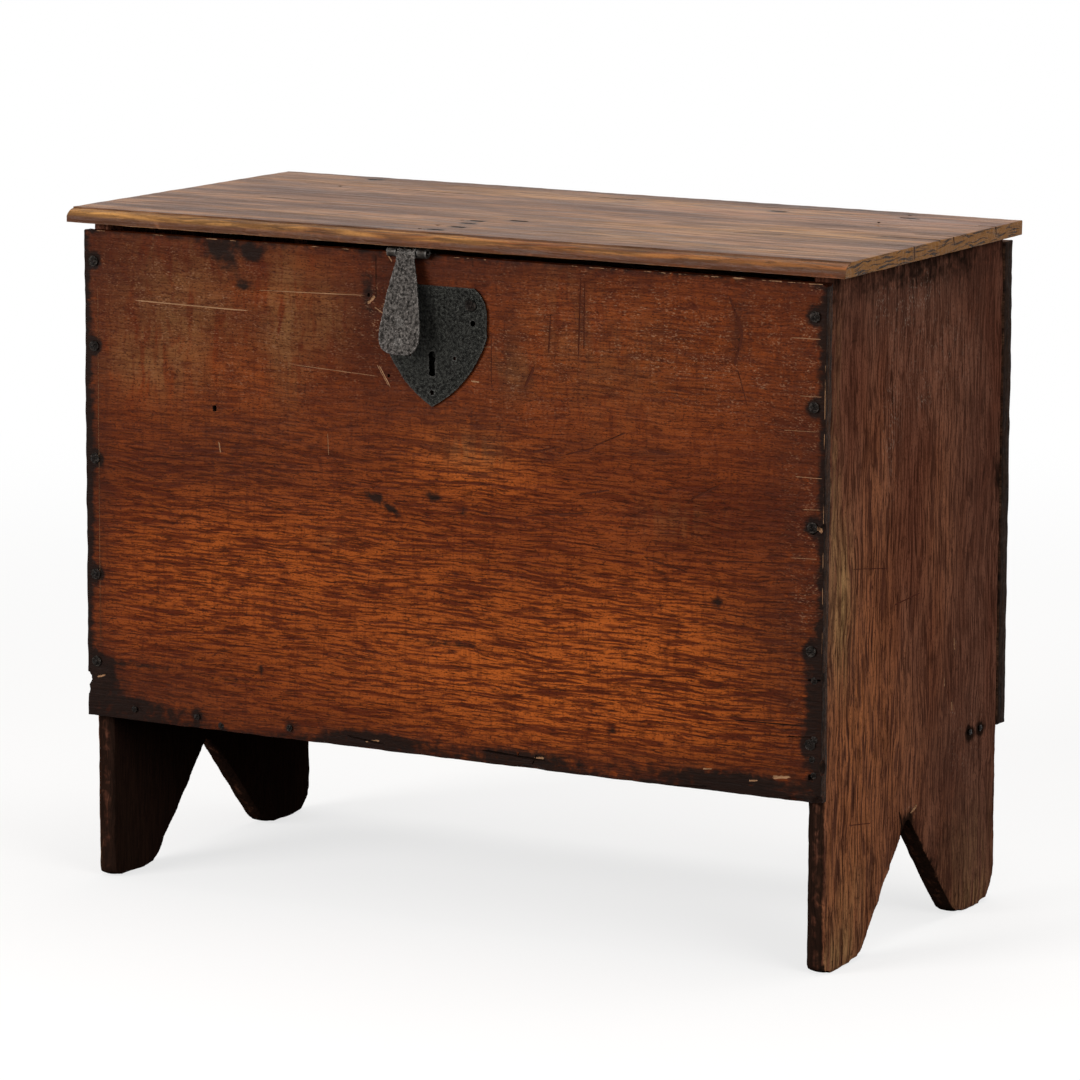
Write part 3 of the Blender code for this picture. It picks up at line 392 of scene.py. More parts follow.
def modify(obj: bpy.types.Object, kind: str, **settings: Any) -> None:
    """Finish an object with a modifier, and apply it.

    Args:
        obj: The object.
        kind: The modifier's kind.
        settings: Its properties.
    """
    select_only(obj)
    made = obj.modifiers.new(kind.lower(), kind)
    for name, value in settings.items():
        setattr(made, name, value)
    bpy.ops.object.modifier_apply(modifier=made.name)


def solid_copy(node: str, name: str) -> bpy.types.Object:
    """Copy a CAD node's mesh and merge its loose triangles.

    Args:
        node: The CAD node.
        name: The copy's name.

    Returns:
        The copy, a closed mesh with no material.
    """
    made = bpy.data.objects.new(name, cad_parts[node].data.copy())
    bpy.context.scene.collection.objects.link(made)
    made.data.name = name
    made.data.materials.clear()
    with editing(made):
        bpy.ops.mesh.select_all(action="SELECT")
        bpy.ops.mesh.remove_doubles(threshold=WELD)
        bpy.ops.mesh.customdata_custom_splitnormals_clear()
    return made


def discard(obj: bpy.types.Object) -> None:
    """Take away a helper object and its mesh.

    Args:
        obj: The helper.
    """
    mesh = obj.data
    bpy.data.objects.remove(obj, do_unlink=True)
    bpy.data.meshes.remove(mesh)


def clouds(name: str, size: float, depth: int = 2, contrast: float = 1.6) -> bpy.types.Texture:
    """A cloudy texture that Displace reads.

    Args:
        name: The texture's name.
        size: The size of its lumps.
        depth: How many finer lumps ride on them.
        contrast: How far its values spread.

    Returns:
        The texture.
    """
    made = bpy.data.textures.get(name) or bpy.data.textures.new(name, "CLOUDS")
    made.noise_scale = size
    made.noise_depth = depth
    made.contrast = contrast
    return made


def points_of(obj: bpy.types.Object) -> tuple[np.ndarray, np.ndarray]:
    """Places and normals of a mesh's points.

    Args:
        obj: The object.

    Returns:
        Two arrays with a row for each point.
    """
    count = len(obj.data.vertices)
    places = np.empty(count * 3, np.float32)
    normals = np.empty(count * 3, np.float32)
    obj.data.vertices.foreach_get("co", places)
    obj.data.vertex_normals.foreach_get("vector", normals)
    return places.reshape(-1, 3), normals.reshape(-1, 3)


def group(obj: bpy.types.Object, name: str, weights: np.ndarray) -> str:
    """Keep weights on a mesh's points as a vertex group.

    Args:
        obj: The object.
        name: The group's name.
        weights: One number for each point.

    Returns:
        The group's name.
    """
    made = obj.vertex_groups.new(name=name)
    for point in np.flatnonzero(weights > LEAST_WEIGHT):
        made.add([int(point)], float(weights[point]), "REPLACE")
    return made.name


def paint(obj: bpy.types.Object, mark: Mark, values: np.ndarray) -> None:
    """Keep a mark on a mesh's points, where the finishes read it."""
    layer = obj.data.attributes.new(mark.value, "FLOAT", "POINT")
    layer.data.foreach_set("value", np.clip(values, 0, 1).astype(np.float32))


def sharp_edges(obj: bpy.types.Object, step: float) -> kdtree.KDTree:
    """Find the sharp edges of a closed mesh.

    Args:
        obj: A merged copy of a CAD solid.
        step: How far apart the points on an edge lie.

    Returns:
        A tree of points along the edges.
    """
    shape = bmesh.new()
    shape.from_mesh(obj.data)
    found = []
    for edge in shape.edges:
        if edge.is_manifold and edge.calc_face_angle() > SHARP:
            start, end = (point.co for point in edge.verts)
            count = max(1, int(edge.calc_length() / step))
            found += [start.lerp(end, share / count) for share in range(count + 1)]
    shape.free()
    tree = kdtree.KDTree(len(found))
    for number, place in enumerate(found):
        tree.insert(place, number)
    tree.balance()
    return tree


def nearness(places: np.ndarray, tree: kdtree.KDTree, reach: float) -> np.ndarray:
    """How near each place is to the points of a tree.

    Args:
        places: One row for each place.
        tree: Points along edges.
        reach: The distance over which nearness fades.

    Returns:
        1 on an edge, falling towards 0.
    """
    away = np.array([tree.find(place)[2] for place in places])
    return np.exp(-((away / reach) ** 2))


def smooth(obj: bpy.types.Object) -> None:
    """Shade an object smooth, apart from its sharp edges."""
    select_only(obj)
    bpy.ops.object.shade_smooth_by_angle(angle=SHARP)


@dataclass(frozen=True)
class Oak:
    """Oak, hand planed, then waxed, smoked and rubbed for centuries.

    Bright and dark strands wander along the grain, open pores show as short black dashes, smoke and old
    wax lie over it in flecks and drips, hands and cloths leave the middle of a board warm and its edges
    black, and knocks leave it pale. Its pale flecks are dust and painted glints, its shade tint is painted
    shade, and its grime tint is dirt and also painted shade where the stain mark carries it.
    """

    name: str
    grain: Grain
    deep: str
    warm: str
    bright: str
    dash: str
    worn: str
    # dirt, and painted shade where the stain mark carries it
    grime_and_shade: str
    pore: str = "#2A1008"
    # the colour of painted shade
    shade: str = "#2C1912"
    # dust, and painted glints
    dust: str = "#9A7458"
    cut_light: str = "#3A2417"
    cut_dark: str = "#1A100A"
    tone_mm: tuple[float, float] = (210, 60)
    streak_mm: tuple[float, float] = (120, 5.0)
    strand_mm: tuple[float, float] = (46, 2.3)
    pore_mm: tuple[float, float] = (17, 1.5)  # pores are finer, and are drawn this coarse so that they show
    blotch_mm: tuple[float, float] = (40, 15)
    drip_mm: tuple[float, float] = (13, 52)
    flow_mm: tuple[float, float] = (4.0, 42)
    ring_mm: tuple[float, float, float] = (60, 1.6, 30)  # end grain, along X, Y and Z
    clump_mm: tuple[float, float] = (13, 11)
    ragged_mm: float = 9.0
    fleck_mm: tuple[float, float] = (2.8, 1.2)  # dust is finer, and is drawn this coarse so that it shows; these pale flecks are also painted glints
    sway_mm: tuple[float, float] = (110, 38)
    sway: float = 0.011
    ripple_mm: tuple[float, float] = (26, 11)
    ripple: float = 0.0018
    strand_depth: float = 0.66
    pore_depth: float = 0.7
    blotch_depth: float = 0.5
    flow_depth: float = 0.35
    pit_depth: float = 0.55
    sheen: float = 0.03
    roughness: tuple[float, float] = (0.38, 0.62)
    polish: float = 0.0
    relief: float = 0.0006
    edge_grime: float = 0.5

    def make(self) -> bpy.types.Material:
        """Build the material.

        Returns:
            The material.
        """
        made, tree, skin = blank(self.name)
        fields = self.patterns(tree)
        marks = {mark: add(tree, Kind.MARK, output="Fac", attribute_name=mark.value) for mark in Mark}
        masks = self.masks(tree, fields, marks)
        colour: Any = linear(self.deep)
        tints = (
            ("tone", self.warm), ("glow", self.bright), ("rub", self.worn), ("flow", self.dash),
            ("strand", self.dash), ("blotch", self.dash), ("pit", self.pore), ("pore", self.pore),
            ("shade", self.shade), ("dust", self.dust), ("ends", self.cut_light), ("rings", self.cut_dark),
            ("grime_and_shade", self.grime_and_shade),
        )
        for name, tint in tints:
            colour = blend(tree, masks[name], colour, linear(tint))
        tree.links.new(colour, skin.inputs["Base Color"])
        rough = spread(tree, fields["streak"], self.roughness)
        rough = times(tree, marks[Mark.GLOW], -self.polish, rough)
        tree.links.new(rough, skin.inputs["Roughness"])
        skin.inputs["Specular IOR Level"].default_value = self.sheen
        # strands, pores, blotches and rings are hollows, and what lies on the wood stands up
        height = times(tree, masks["strand"], -0.5, fields["streak"])
        for name, share in (("pore", -0.8), ("blotch", -0.4), ("rings", -0.8)):
            height = times(tree, masks[name], share, height)
        for name, share in (("fleck", 0.7), ("ragged", 0.6), ("drip", 0.5)):
            height = times(tree, fields[name], share, height)
        inputs = {"Height": height, "Distance": self.relief, "Strength": 0.8}
        tree.links.new(add(tree, Kind.BUMP, inputs), skin.inputs["Normal"])
        return made

    def patterns(self, tree: bpy.types.NodeTree) -> dict[str, bpy.types.NodeSocket]:
        """Lay out the noises that the wood is drawn with, on a grain that sways and ripples.

        Args:
            tree: The material's nodes.

        Returns:
            The noises by name.
        """
        swayed = place = add(tree, Kind.PLACE, output="Object")
        for size, amount in ((self.sway_mm, self.sway), (self.ripple_mm, self.ripple)):
            broad = add(tree, Kind.STRETCH, {"Vector": place, "Scale": self.grain.scale(*size)})
            lean = add(tree, Kind.NOISE, {"Vector": broad, "Scale": 1.0, "Detail": 2.0}, output="Color")
            lean = add(tree, Kind.SHIFT, {0: lean, 1: (-0.5, -0.5, -0.5)}, operation="ADD")
            lean = add(tree, Kind.SHIFT, {0: lean, "Scale": amount}, operation="SCALE")
            swayed = add(tree, Kind.SHIFT, {0: swayed, 1: lean}, operation="ADD")
        scale = self.grain.scale
        # each noise's scale, detail and warp
        table = {
            "tone": (scale(*self.tone_mm), 4.0, 0.4), "streak": (scale(*self.streak_mm), 4.0, 0.6),
            "strand": (scale(*self.strand_mm), 4.0, 0.3), "pore": (scale(*self.pore_mm), 2.0, 0.2),
            "blotch": (scale(*self.blotch_mm), 5.0, 0.8), "drip": (scale(*self.drip_mm), 4.0, 0.8),
            "flow": (scale(*self.flow_mm), 3.0, 0.8),
            "ragged": (scale(self.ragged_mm, self.ragged_mm), 4.0, 0.4),
            "fleck": (scale(*self.fleck_mm), 2.0, 0.3), "clump": (scale(*self.clump_mm), 3.0, 0.6),
            "rings": (tuple(1 / (MM * size) for size in self.ring_mm), 2.0, 0.5),
        }
        made = {}
        for name, (size, detail, warp) in table.items():
            stretched = add(tree, Kind.STRETCH, {"Vector": swayed, "Scale": size})
            inputs = {"Vector": stretched, "Scale": 1.0, "Detail": detail, "Distortion": warp}
            made[name] = add(tree, Kind.NOISE, inputs)
        return made

    def masks(
        self, tree: bpy.types.NodeTree, fields: Mapping[str, bpy.types.NodeSocket],
        marks: Mapping[Mark, bpy.types.NodeSocket],
    ) -> dict[str, bpy.types.NodeSocket]:
        """Work out where each tint shows.

        Args:
            tree: The material's nodes.
            fields: The noises by name.
            marks: What wear has left on the board.

        Returns:
            A factor for each tint, by name.
        """
        made = {}
        # the noise that a tint follows, where it starts and is full, how full, and the mark it needs
        table = {
            "tone": ("tone", 0.36, 0.62, 1.0, None), "glow": ("strand", 0.36, 0.58, 1.0, Mark.GLOW),
            "rub": ("drip", 0.30, 0.60, 1.0, Mark.RUB), "flow": ("flow", 0.52, 0.68, self.flow_depth, None),
            "strand": ("strand", 0.55, 0.40, self.strand_depth, Mark.GRAIN),
            "blotch": ("blotch", 0.52, 0.70, self.blotch_depth, None),
            "pit": ("fleck", 0.45, 0.33, self.pit_depth, None),
            "pore": ("pore", 0.55, 0.66, self.pore_depth, Mark.GRAIN),
            # painted shade follows the shade mark
            "shade": ("ragged", 0.15, 0.50, 0.9, Mark.SHADE), "dust": ("fleck", 0.56, 0.68, 0.8, Mark.DUST),
            "clump": ("clump", 0.40, 0.62, 1.0, None), "rings": ("rings", 0.5, 0.62, 1.0, Mark.ENDS),
        }
        for name, (source, low, high, most, mark) in table.items():
            made[name] = ramp(tree, fields[source], low, high, most)
            if mark:
                made[name] = times(tree, made[name], marks[mark])
        made["dust"] = times(tree, made["dust"], made["clump"])
        made["ends"] = marks[Mark.ENDS]
        # dark edges and stains, with the painted shade that the stain mark carries
        dirt_and_shade = times(tree, marks[Mark.EDGE], self.edge_grime, marks[Mark.STAIN])
        dirt_and_shade = times(tree, fields["ragged"], 0.9, dirt_and_shade)
        dirt_and_shade = times(tree, fields["streak"], 0.5, dirt_and_shade)
        made["grime_and_shade"] = ramp(tree, dirt_and_shade, 0.92, 1.42, 0.94)
        return made


@dataclass(frozen=True)
class FreshCut:
    """Oak where a knock or a blade has opened it: dry, matt and paler or darker than the wax; the darker one
    also paints the shade inside splits and holes, and the paler one a highlight.
    """

    name: str
    light: str
    dark: str
    fibre_mm: tuple[float, float] = (14, 1.4)

    def make(self) -> bpy.types.Material:
        """Build the material.

        Returns:
            The material.
        """
        made, tree, skin = blank(self.name)
        place = add(tree, Kind.PLACE, output="Object")
        fibre = add(tree, Kind.STRETCH, {"Vector": place, "Scale": Grain.LEVEL.scale(*self.fibre_mm)})
        fibre = add(tree, Kind.NOISE, {"Vector": fibre, "Scale": 1.0, "Detail": 3.0})
        colour = blend(tree, fibre, linear(self.dark), linear(self.light))
        tree.links.new(colour, skin.inputs["Base Color"])
        tree.links.new(add(tree, Kind.BUMP, {"Height": fibre, "Distance": 0.0004}), skin.inputs["Normal"])
        skin.inputs["Roughness"].default_value = 0.8
        skin.inputs["Specular IOR Level"].default_value = 0.1
        return made


@dataclass(frozen=True)
class Iron:
    """Wrought iron, hammered hot, pitted by rust and blackened by wax and hands.

    It is nearly black in its hollows, lighter on its hammered lumps and bright on its rubbed edges, as
    worn metal and as painted glints, and keeps a little brown rust in its pits.
    """

    name: str
    dark: str
    light: str
    rust: str = "#3A2419"
    # rubbed edges, and painted glints
    bright: str = "#8C8884"
    lump_mm: float = 9.0
    pit_mm: float = 1.6
    grit_mm: float = 0.7  # finer on the iron, and drawn this coarse so that it shows
    roughness: tuple[float, float] = (0.34, 0.62)
    relief: float = 0.0005
    rub: float = 0.7
    rusty: float = 0.35

    def make(self) -> bpy.types.Material:
        """Build the material.

        Returns:
            The material.
        """
        made, tree, skin = blank(self.name)
        place = add(tree, Kind.PLACE, output="Object")
        lump = add(tree, Kind.NOISE, {"Vector": place, "Scale": 1 / (MM * self.lump_mm), "Detail": 3.0})
        grit = add(tree, Kind.NOISE, {"Vector": place, "Scale": 1 / (MM * self.grit_mm), "Detail": 2.0})
        pits = add(tree, Kind.CELLS, {"Vector": place, "Scale": 1 / (MM * self.pit_mm)}, feature="SMOOTH_F1")
        edge = add(tree, Kind.MARK, output="Fac", attribute_name=Mark.EDGE.value)
        colour = blend(tree, ramp(tree, lump, 0.3, 0.7), linear(self.dark), linear(self.light))
        colour = blend(tree, ramp(tree, grit, 0.55, 0.75, self.rusty), colour, linear(self.rust))
        # rubbed edges are painted bright, as worn metal and as glints
        worn = times(tree, times(tree, edge, grit), self.rub)
        colour = blend(tree, worn, colour, linear(self.bright))
        tree.links.new(colour, skin.inputs["Base Color"])
        tree.links.new(spread(tree, grit, self.roughness), skin.inputs["Roughness"])
        height = times(tree, pits, 0.8, times(tree, grit, 0.5, lump))
        bump = add(tree, Kind.BUMP, {"Height": height, "Distance": self.relief})
        tree.links.new(bump, skin.inputs["Normal"])
        skin.inputs["Metallic"].default_value = 1.0
        return made


OAK_FRONT = Oak(
    "waxed_oak_front", Grain.LEVEL, deep="#5A260F", warm="#733415", bright="#AA541E", dash="#47190A",
    worn="#805834", grime_and_shade="#17100D", shade="#331A12", blotch_mm=(20, 6), blotch_depth=0.62, pit_depth=0.7,
)
OAK_END = Oak(
    "waxed_oak_end", Grain.UPRIGHT, deep="#6C4030", warm="#7E5240", bright="#A4653F", dash="#3E2117",
    # its grime colour also paints the shade on the legs' inner faces and edges
    worn="#AC8558", grime_and_shade="#1A120E", pore="#2A1610", shade="#443029", dust="#B8A290",
    strand_mm=(64, 3.0), pore_mm=(40, 1.8), blotch_mm=(46, 16), drip_mm=(150, 9), flow_mm=(90, 7),
    ring_mm=(1.6, 30, 60), sway=0.02, ripple_mm=(60, 14), ripple=0.004, sheen=0.0, edge_grime=0.3,
    flow_depth=0.25,
)
OAK_LID = Oak(
    "waxed_oak_lid", Grain.LEVEL, deep="#5C3A24", warm="#966A48", bright="#7A3F1C", dash="#452815",
    # its worn colour is also the painted golden light on the moulding's upper face
    worn="#B8844A", grime_and_shade="#1C110B", pore="#33200F", shade="#4A2A18", dust="#B08C6C",
    tone_mm=(300, 34), strand_mm=(90, 5.0), pore_mm=(40, 2.6), blotch_mm=(110, 11), drip_mm=(150, 12),
    flow_mm=(160, 12), ring_mm=(60, 26, 1.8), strand_depth=0.62, pore_depth=0.55, blotch_depth=0.6,
    pit_depth=0.3, sheen=0.08, roughness=(0.34, 0.52), polish=0.12, edge_grime=0.1, cut_light="#80531F",
    cut_dark="#2C190B",
)
OAK_BACK = Oak(
    "dry_oak_back", Grain.LEVEL, deep="#4A3224", warm="#664835", bright="#7A5840", dash="#2E1D14",
    worn="#6A4C36", grime_and_shade="#17100D", cut_light="#2A1C14", cut_dark="#120B08", roughness=(0.55, 0.8),
)
OAK_INSIDE = Oak(
    "bare_oak_inside", Grain.LEVEL, deep="#5A3D28", warm="#7C593B", bright="#8E6A45", dash="#3C2819",
    worn="#94714C", grime_and_shade="#1E1510", ring_mm=(60, 26, 1.8), roughness=(0.6, 0.85), edge_grime=0.4,
)
# pale: scratches, and the painted highlight along the front's upper edge
SCRATCH_AND_GLINT = FreshCut("scratched_and_glinting_oak", light="#A98060", dark="#7C5A3C")
# near black: painted shade inside splits, holes and cuts
CRACK_SHADE = FreshCut("crack_shaded_oak", light="#2A1710", dark="#0C0806")
RAY = FreshCut("rayed_oak", light="#4E2211", dark="#351509")
IRON_HASP = Iron(
    "forged_iron_hasp", dark="#1C1A18", light="#56514D", bright="#8A8580", lump_mm=2.6, pit_mm=1.8,
    roughness=(0.18, 0.40), relief=0.0016, rub=0.5, rusty=0.2,
)
IRON_LOCK = Iron(
    "blackened_iron_lock", dark="#0D0D0C", light="#2A2A27", bright="#7A7672", lump_mm=3.0, pit_mm=2.0,
    roughness=(0.18, 0.42), relief=0.0013, rusty=0.1, rub=0.22,
)
IRON_HINGE = Iron("forged_iron_hinge", dark="#211F1D", light="#403C38")
IRON_NAIL = Iron(
    "forged_iron_nail", dark="#0E0C0B", light="#1D1A18", bright="#7C766E", lump_mm=3.0, roughness=(0.28, 0.5),
    rub=0.12,
)


@dataclass
class Plank:
    """One board: a block, divided, eased and weathered, then fitted to its CAD solid."""

    node: str
    piece: str
    body: str
    slot: str
    face: Face
    look: bpy.types.Material
    cuts: tuple[tuple[int, ...], tuple[int, ...], tuple[int, ...]]
    patches: Sequence[Patch] = ()
    scars: Sequence[Cut] = ()
    bites: Sequence[Bite] = ()
    skin: float = 0.00005  # the block stays this far inside the solid
    arris: float = 0.0020
    wear: float = 0.0011
    wear_reach: float = 0.006
    lump: float = 0.022
    swell: float = 0.0007
    grime_reach: float = 0.007
    grain_range: tuple[float, float] = (0.0, 0.0)
    dirt_and_shade_below: float = 0.0  # faces that look away from the show face are darkened up to this height, as dirt and painted shade
    edge_dirt_and_shade: float = 0.6  # and the board's edges are darkened this much there, as dirt and painted shade

    def build(self, looks: Mapping[str, bpy.types.Material]) -> bpy.types.Object:
        """Make the board.

        Args:
            looks: The finishes by name, those of scars among them.

        Returns:
            The board.
        """
        solid = solid_copy(self.node, self.piece + "_solid")
        edges = sharp_edges(solid, self.wear_reach / 3)
        board = self.rough_out(solid)
        self.weather(board, edges)
        modify(board, "BOOLEAN", operation="INTERSECT", object=solid, solver="MANIFOLD")
        discard(solid)
        board.data.materials.clear()
        board.data.materials.append(self.look)
        for kind in Scar:
            slivers = [self.sliver(number, cut) for number, cut in enumerate(self.scars) if cut.scar is kind]
            self.carve(board, slivers, looks[kind.value])
        self.carve(board, [self.lump_of(number, bite) for number, bite in enumerate(self.bites)], self.look)
        board.data.validate()
        smooth(board)
        self.mark(board, edges)
        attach(board, self.body)
        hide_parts(self.node)
        return board

    def rough_out(self, solid: bpy.types.Object) -> bpy.types.Object:
        """Saw the block, divide it and ease its edges.

        Args:
            solid: The CAD solid that it becomes; not used.

        Returns:
            The block.
        """
        low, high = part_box(self.node)
        inset = Vector((self.skin, self.skin, self.skin))
        board = block(self.piece, low + inset, high - inset)
        for axis, cuts in enumerate(self.cuts):
            divide(board, axis, cuts)
        with editing(board):
            bpy.ops.mesh.select_mode(type="EDGE")
            bpy.ops.mesh.edges_select_sharp(sharpness=CORNER)
            bpy.ops.mesh.bevel(offset=self.arris, segments=3, affect="EDGES")
        return board

    def weather(self, board: bpy.types.Object, edges: kdtree.KDTree) -> None:
        """Wear the board: shallow hollows all over, and chips along its edges.

        Args:
            board: The board.
            edges: Points along the solid's edges.
        """
        places, _ = points_of(board)
        worn = group(board, "worn", nearness(places, edges, self.wear_reach))
        hollows = clouds("hollows", 0.16, 1)
        chips = clouds("chips_" + self.piece, self.lump, 3, 1.8)
        modify(board, "DISPLACE", texture=hollows, mid_level=0.0, strength=-self.swell)
        modify(board, "DISPLACE", texture=chips, mid_level=0.0, strength=-self.wear, vertex_group=worn)

    def spot(self, at: tuple[float, float]) -> Vector:
        """Find a place of the tables on the board's show face.

        Args:
            at: Across and up, or across and back, in millimetres.

        Returns:
            The place, in metres.
        """
        low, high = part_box(self.node)
        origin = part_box("front_board")[0]
        (first, second), way = self.face.value
        place = Vector((origin.x, origin.y, 0.0))
        place[first] += at[0] * MM
        place[second] += at[1] * MM
        for axis in range(3):
            if way[axis]:
                place[axis] = high[axis] if way[axis] > 0 else low[axis]
        return place

    def carve(
        self, board: bpy.types.Object, cutters: Sequence[bpy.types.Object], look: bpy.types.Material,
    ) -> None:
        """Cut splits, scratches or bites into the board.

        Args:
            board: The board.
            cutters: What is cut out, used up here.
            look: The finish of the cut faces.
        """
        for cutter in joined(cutters):
            cutter.data.materials.clear()
            cutter.data.materials.append(look)
            modify(
                board, "BOOLEAN", operation="DIFFERENCE", object=cutter, solver="MANIFOLD",
                material_mode="TRANSFER",
            )
            discard(cutter)

    def lump_of(self, number: int, bite: Bite) -> bpy.types.Object:
        """A ragged lump where a piece has broken out.

        Args:
            number: Which bite it is, so that each breaks its own way.
            bite: Where it is.

        Returns:
            The cutter.
        """
        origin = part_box("front_board")[0]
        middle = Vector((origin.x, origin.y, 0.0)) + Vector(bite.at) * MM
        bpy.ops.object.select_all(action="DESELECT")
        bpy.ops.mesh.primitive_ico_sphere_add(subdivisions=4, radius=1.0)
        made = settle(bpy.context.object, f"{self.piece}_bite_{number}")
        with editing(made):
            bpy.ops.mesh.select_all(action="SELECT")
            bpy.ops.transform.vertex_random(
                offset=BITE_RAGGED, uniform=0.6, normal=0.4, seed=number + 11,
            )
        made.data.transform(Matrix.Translation(middle) @ Matrix.Diagonal((*(Vector(bite.size) * MM), 1.0)))
        return made

    def sliver(self, number: int, cut: Cut) -> bpy.types.Object:
        """A long thin lozenge with a wandering edge, laid in the show face.

        Args:
            number: Which cut it is, so that each wanders its own way.
            cut: Where it runs and how wide and deep it is.

        Returns:
            The cutter.
        """
        start, end = self.spot(cut.start), self.spot(cut.end)
        out = Vector(self.face.value[1])
        along = (end - start).normalized()
        turn = Matrix((along, out.cross(along), out)).transposed().to_4x4()
        length = (end - start).length
        bpy.ops.object.select_all(action="DESELECT")
        bpy.ops.mesh.primitive_cylinder_add(
            vertices=SLIVER_SIDES, radius=0.5, depth=1.0, rotation=(0, math.pi / 2, 0),
        )
        made = settle(bpy.context.object, f"{self.piece}_sliver_{number}")
        with editing(made):
            pick(made, Pick.EDGES, lambda edge: runs_along(edge, 0))
            bpy.ops.mesh.subdivide(number_cuts=SLIVER_CUTS)
            pick(made, Pick.POINTS, lambda point: abs(point.co.x) > 0.49)
            bpy.ops.transform.resize(value=SLIVER_TIP, center_override=(0, 0, 0))
            pick(made, Pick.POINTS, lambda point: abs(point.co.x) < 0.45)
            bpy.ops.transform.vertex_random(
                offset=SLIVER_WANDER, uniform=0.4, normal=0.0, seed=number + 3,
            )
        deep = cut.depth * MM + self.swell
        size = Matrix.Diagonal((length, cut.width * MM, 2 * deep, 1.0))
        made.data.transform(Matrix.Translation((start + end) / 2) @ turn @ size)
        return made

    def mark(self, board: bpy.types.Object, edges: kdtree.KDTree) -> None:
        """Keep what wear has left on the board's points, with painted shade, light and glints.

        Args:
            board: The finished board.
            edges: Points along the solid's edges.
        """
        places, normals = points_of(board)
        grain = 2 if self.face in (Face.LEFT, Face.RIGHT) else 0
        paint(board, Mark.EDGE, nearness(places, edges, self.grime_reach))
        paint(board, Mark.ENDS, np.clip((np.abs(normals[:, grain]) - 0.6) / 0.3, 0, 1))
        (first, second), way = self.face.value
        facing = np.clip(normals @ np.array(way) * 2, 0, 1)
        low, high = self.grain_range
        height = places[:, second] / MM
        strength = np.clip((high - height) / (high - low), 0.5, 1) if high > low else np.ones(len(places))
        paint(board, Mark.GRAIN, strength)
        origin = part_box("front_board")[0]
        base = np.array((origin.x, origin.y, 0.0))
        flat = ((places - base) / MM)[:, (first, second)]
        for mark in (Mark.STAIN, Mark.RUB, Mark.GLOW, Mark.DUST, Mark.SHADE):
            left = np.ones(len(places))
            for patch in self.patches:
                if patch.mark is mark:
                    left *= 1 - patch.strength * oval(flat, patch)
            covered = (1 - left) * facing
            # the stain mark carries dirt, and painted shade low down on faces turned from the show face and
            # on their edges
            if mark is Mark.STAIN:
                turned = normals @ np.array(way)
                hidden = np.maximum(np.clip(-4 * turned, 0, 1), self.edge_dirt_and_shade * (np.abs(turned) < 0.5))
                covered = np.maximum(covered, hidden * (places[:, 2] < self.dirt_and_shade_below))
            paint(board, mark, covered)


def joined(cutters: Sequence[bpy.types.Object]) -> Iterator[bpy.types.Object]:
    """Join cutters that lie clear of each other, so that each board is cut in a few passes.

    Args:
        cutters: The cutters, used up here.

    Yields:
        Each joined cutter.
    """
    rest = list(cutters)
    while rest:
        batch: list[bpy.types.Object] = []
        boxes: list[tuple[np.ndarray, np.ndarray]] = []
        later = []
        for cutter in rest:
            places, _ = points_of(cutter)
            low, high = places.min(axis=0) - MM, places.max(axis=0) + MM
            if any((low < top).all() and (high > foot).all() for foot, top in boxes):
                later.append(cutter)
            else:
                batch.append(cutter)
                boxes.append((low, high))
        select_only(batch[0])
        for cutter in batch[1:]:
            cutter.select_set(True)
        if len(batch) > 1:
            bpy.ops.object.join()
        rest = later
        yield batch[0]


def oval(flat: np.ndarray, patch: Patch) -> np.ndarray:
    """How strongly a patch covers each place on a face.

    Args:
        flat: Two millimetre columns, across and up the face.
        patch: The patch.

    Returns:
        1 in its middle, falling towards 0.
    """
    away = flat - np.array(patch.at)
    turn = math.radians(patch.turn)
    along = away[:, 0] * math.cos(turn) + away[:, 1] * math.sin(turn)
    across = away[:, 1] * math.cos(turn) - away[:, 0] * math.sin(turn)
    return np.exp(-((along / patch.size[0]) ** 2) - (across / patch.size[1]) ** 2)


@dataclass
class EndPlank(Plank):
    """An end board, whose notch and feet are worn as one with its faces."""

    grid: float = 0.0032

    def rough_out(self, solid: bpy.types.Object) -> bpy.types.Object:
        """Copy the solid and rework it as an even skin of small faces.

        Args:
            solid: The CAD solid that it becomes; not used.

        Returns:
            The board.
        """
        board = solid_copy(self.node, self.piece)
        modify(board, "REMESH", mode="VOXEL", voxel_size=self.grid)
        modify(board, "SMOOTH", factor=0.5, iterations=2)
        return board


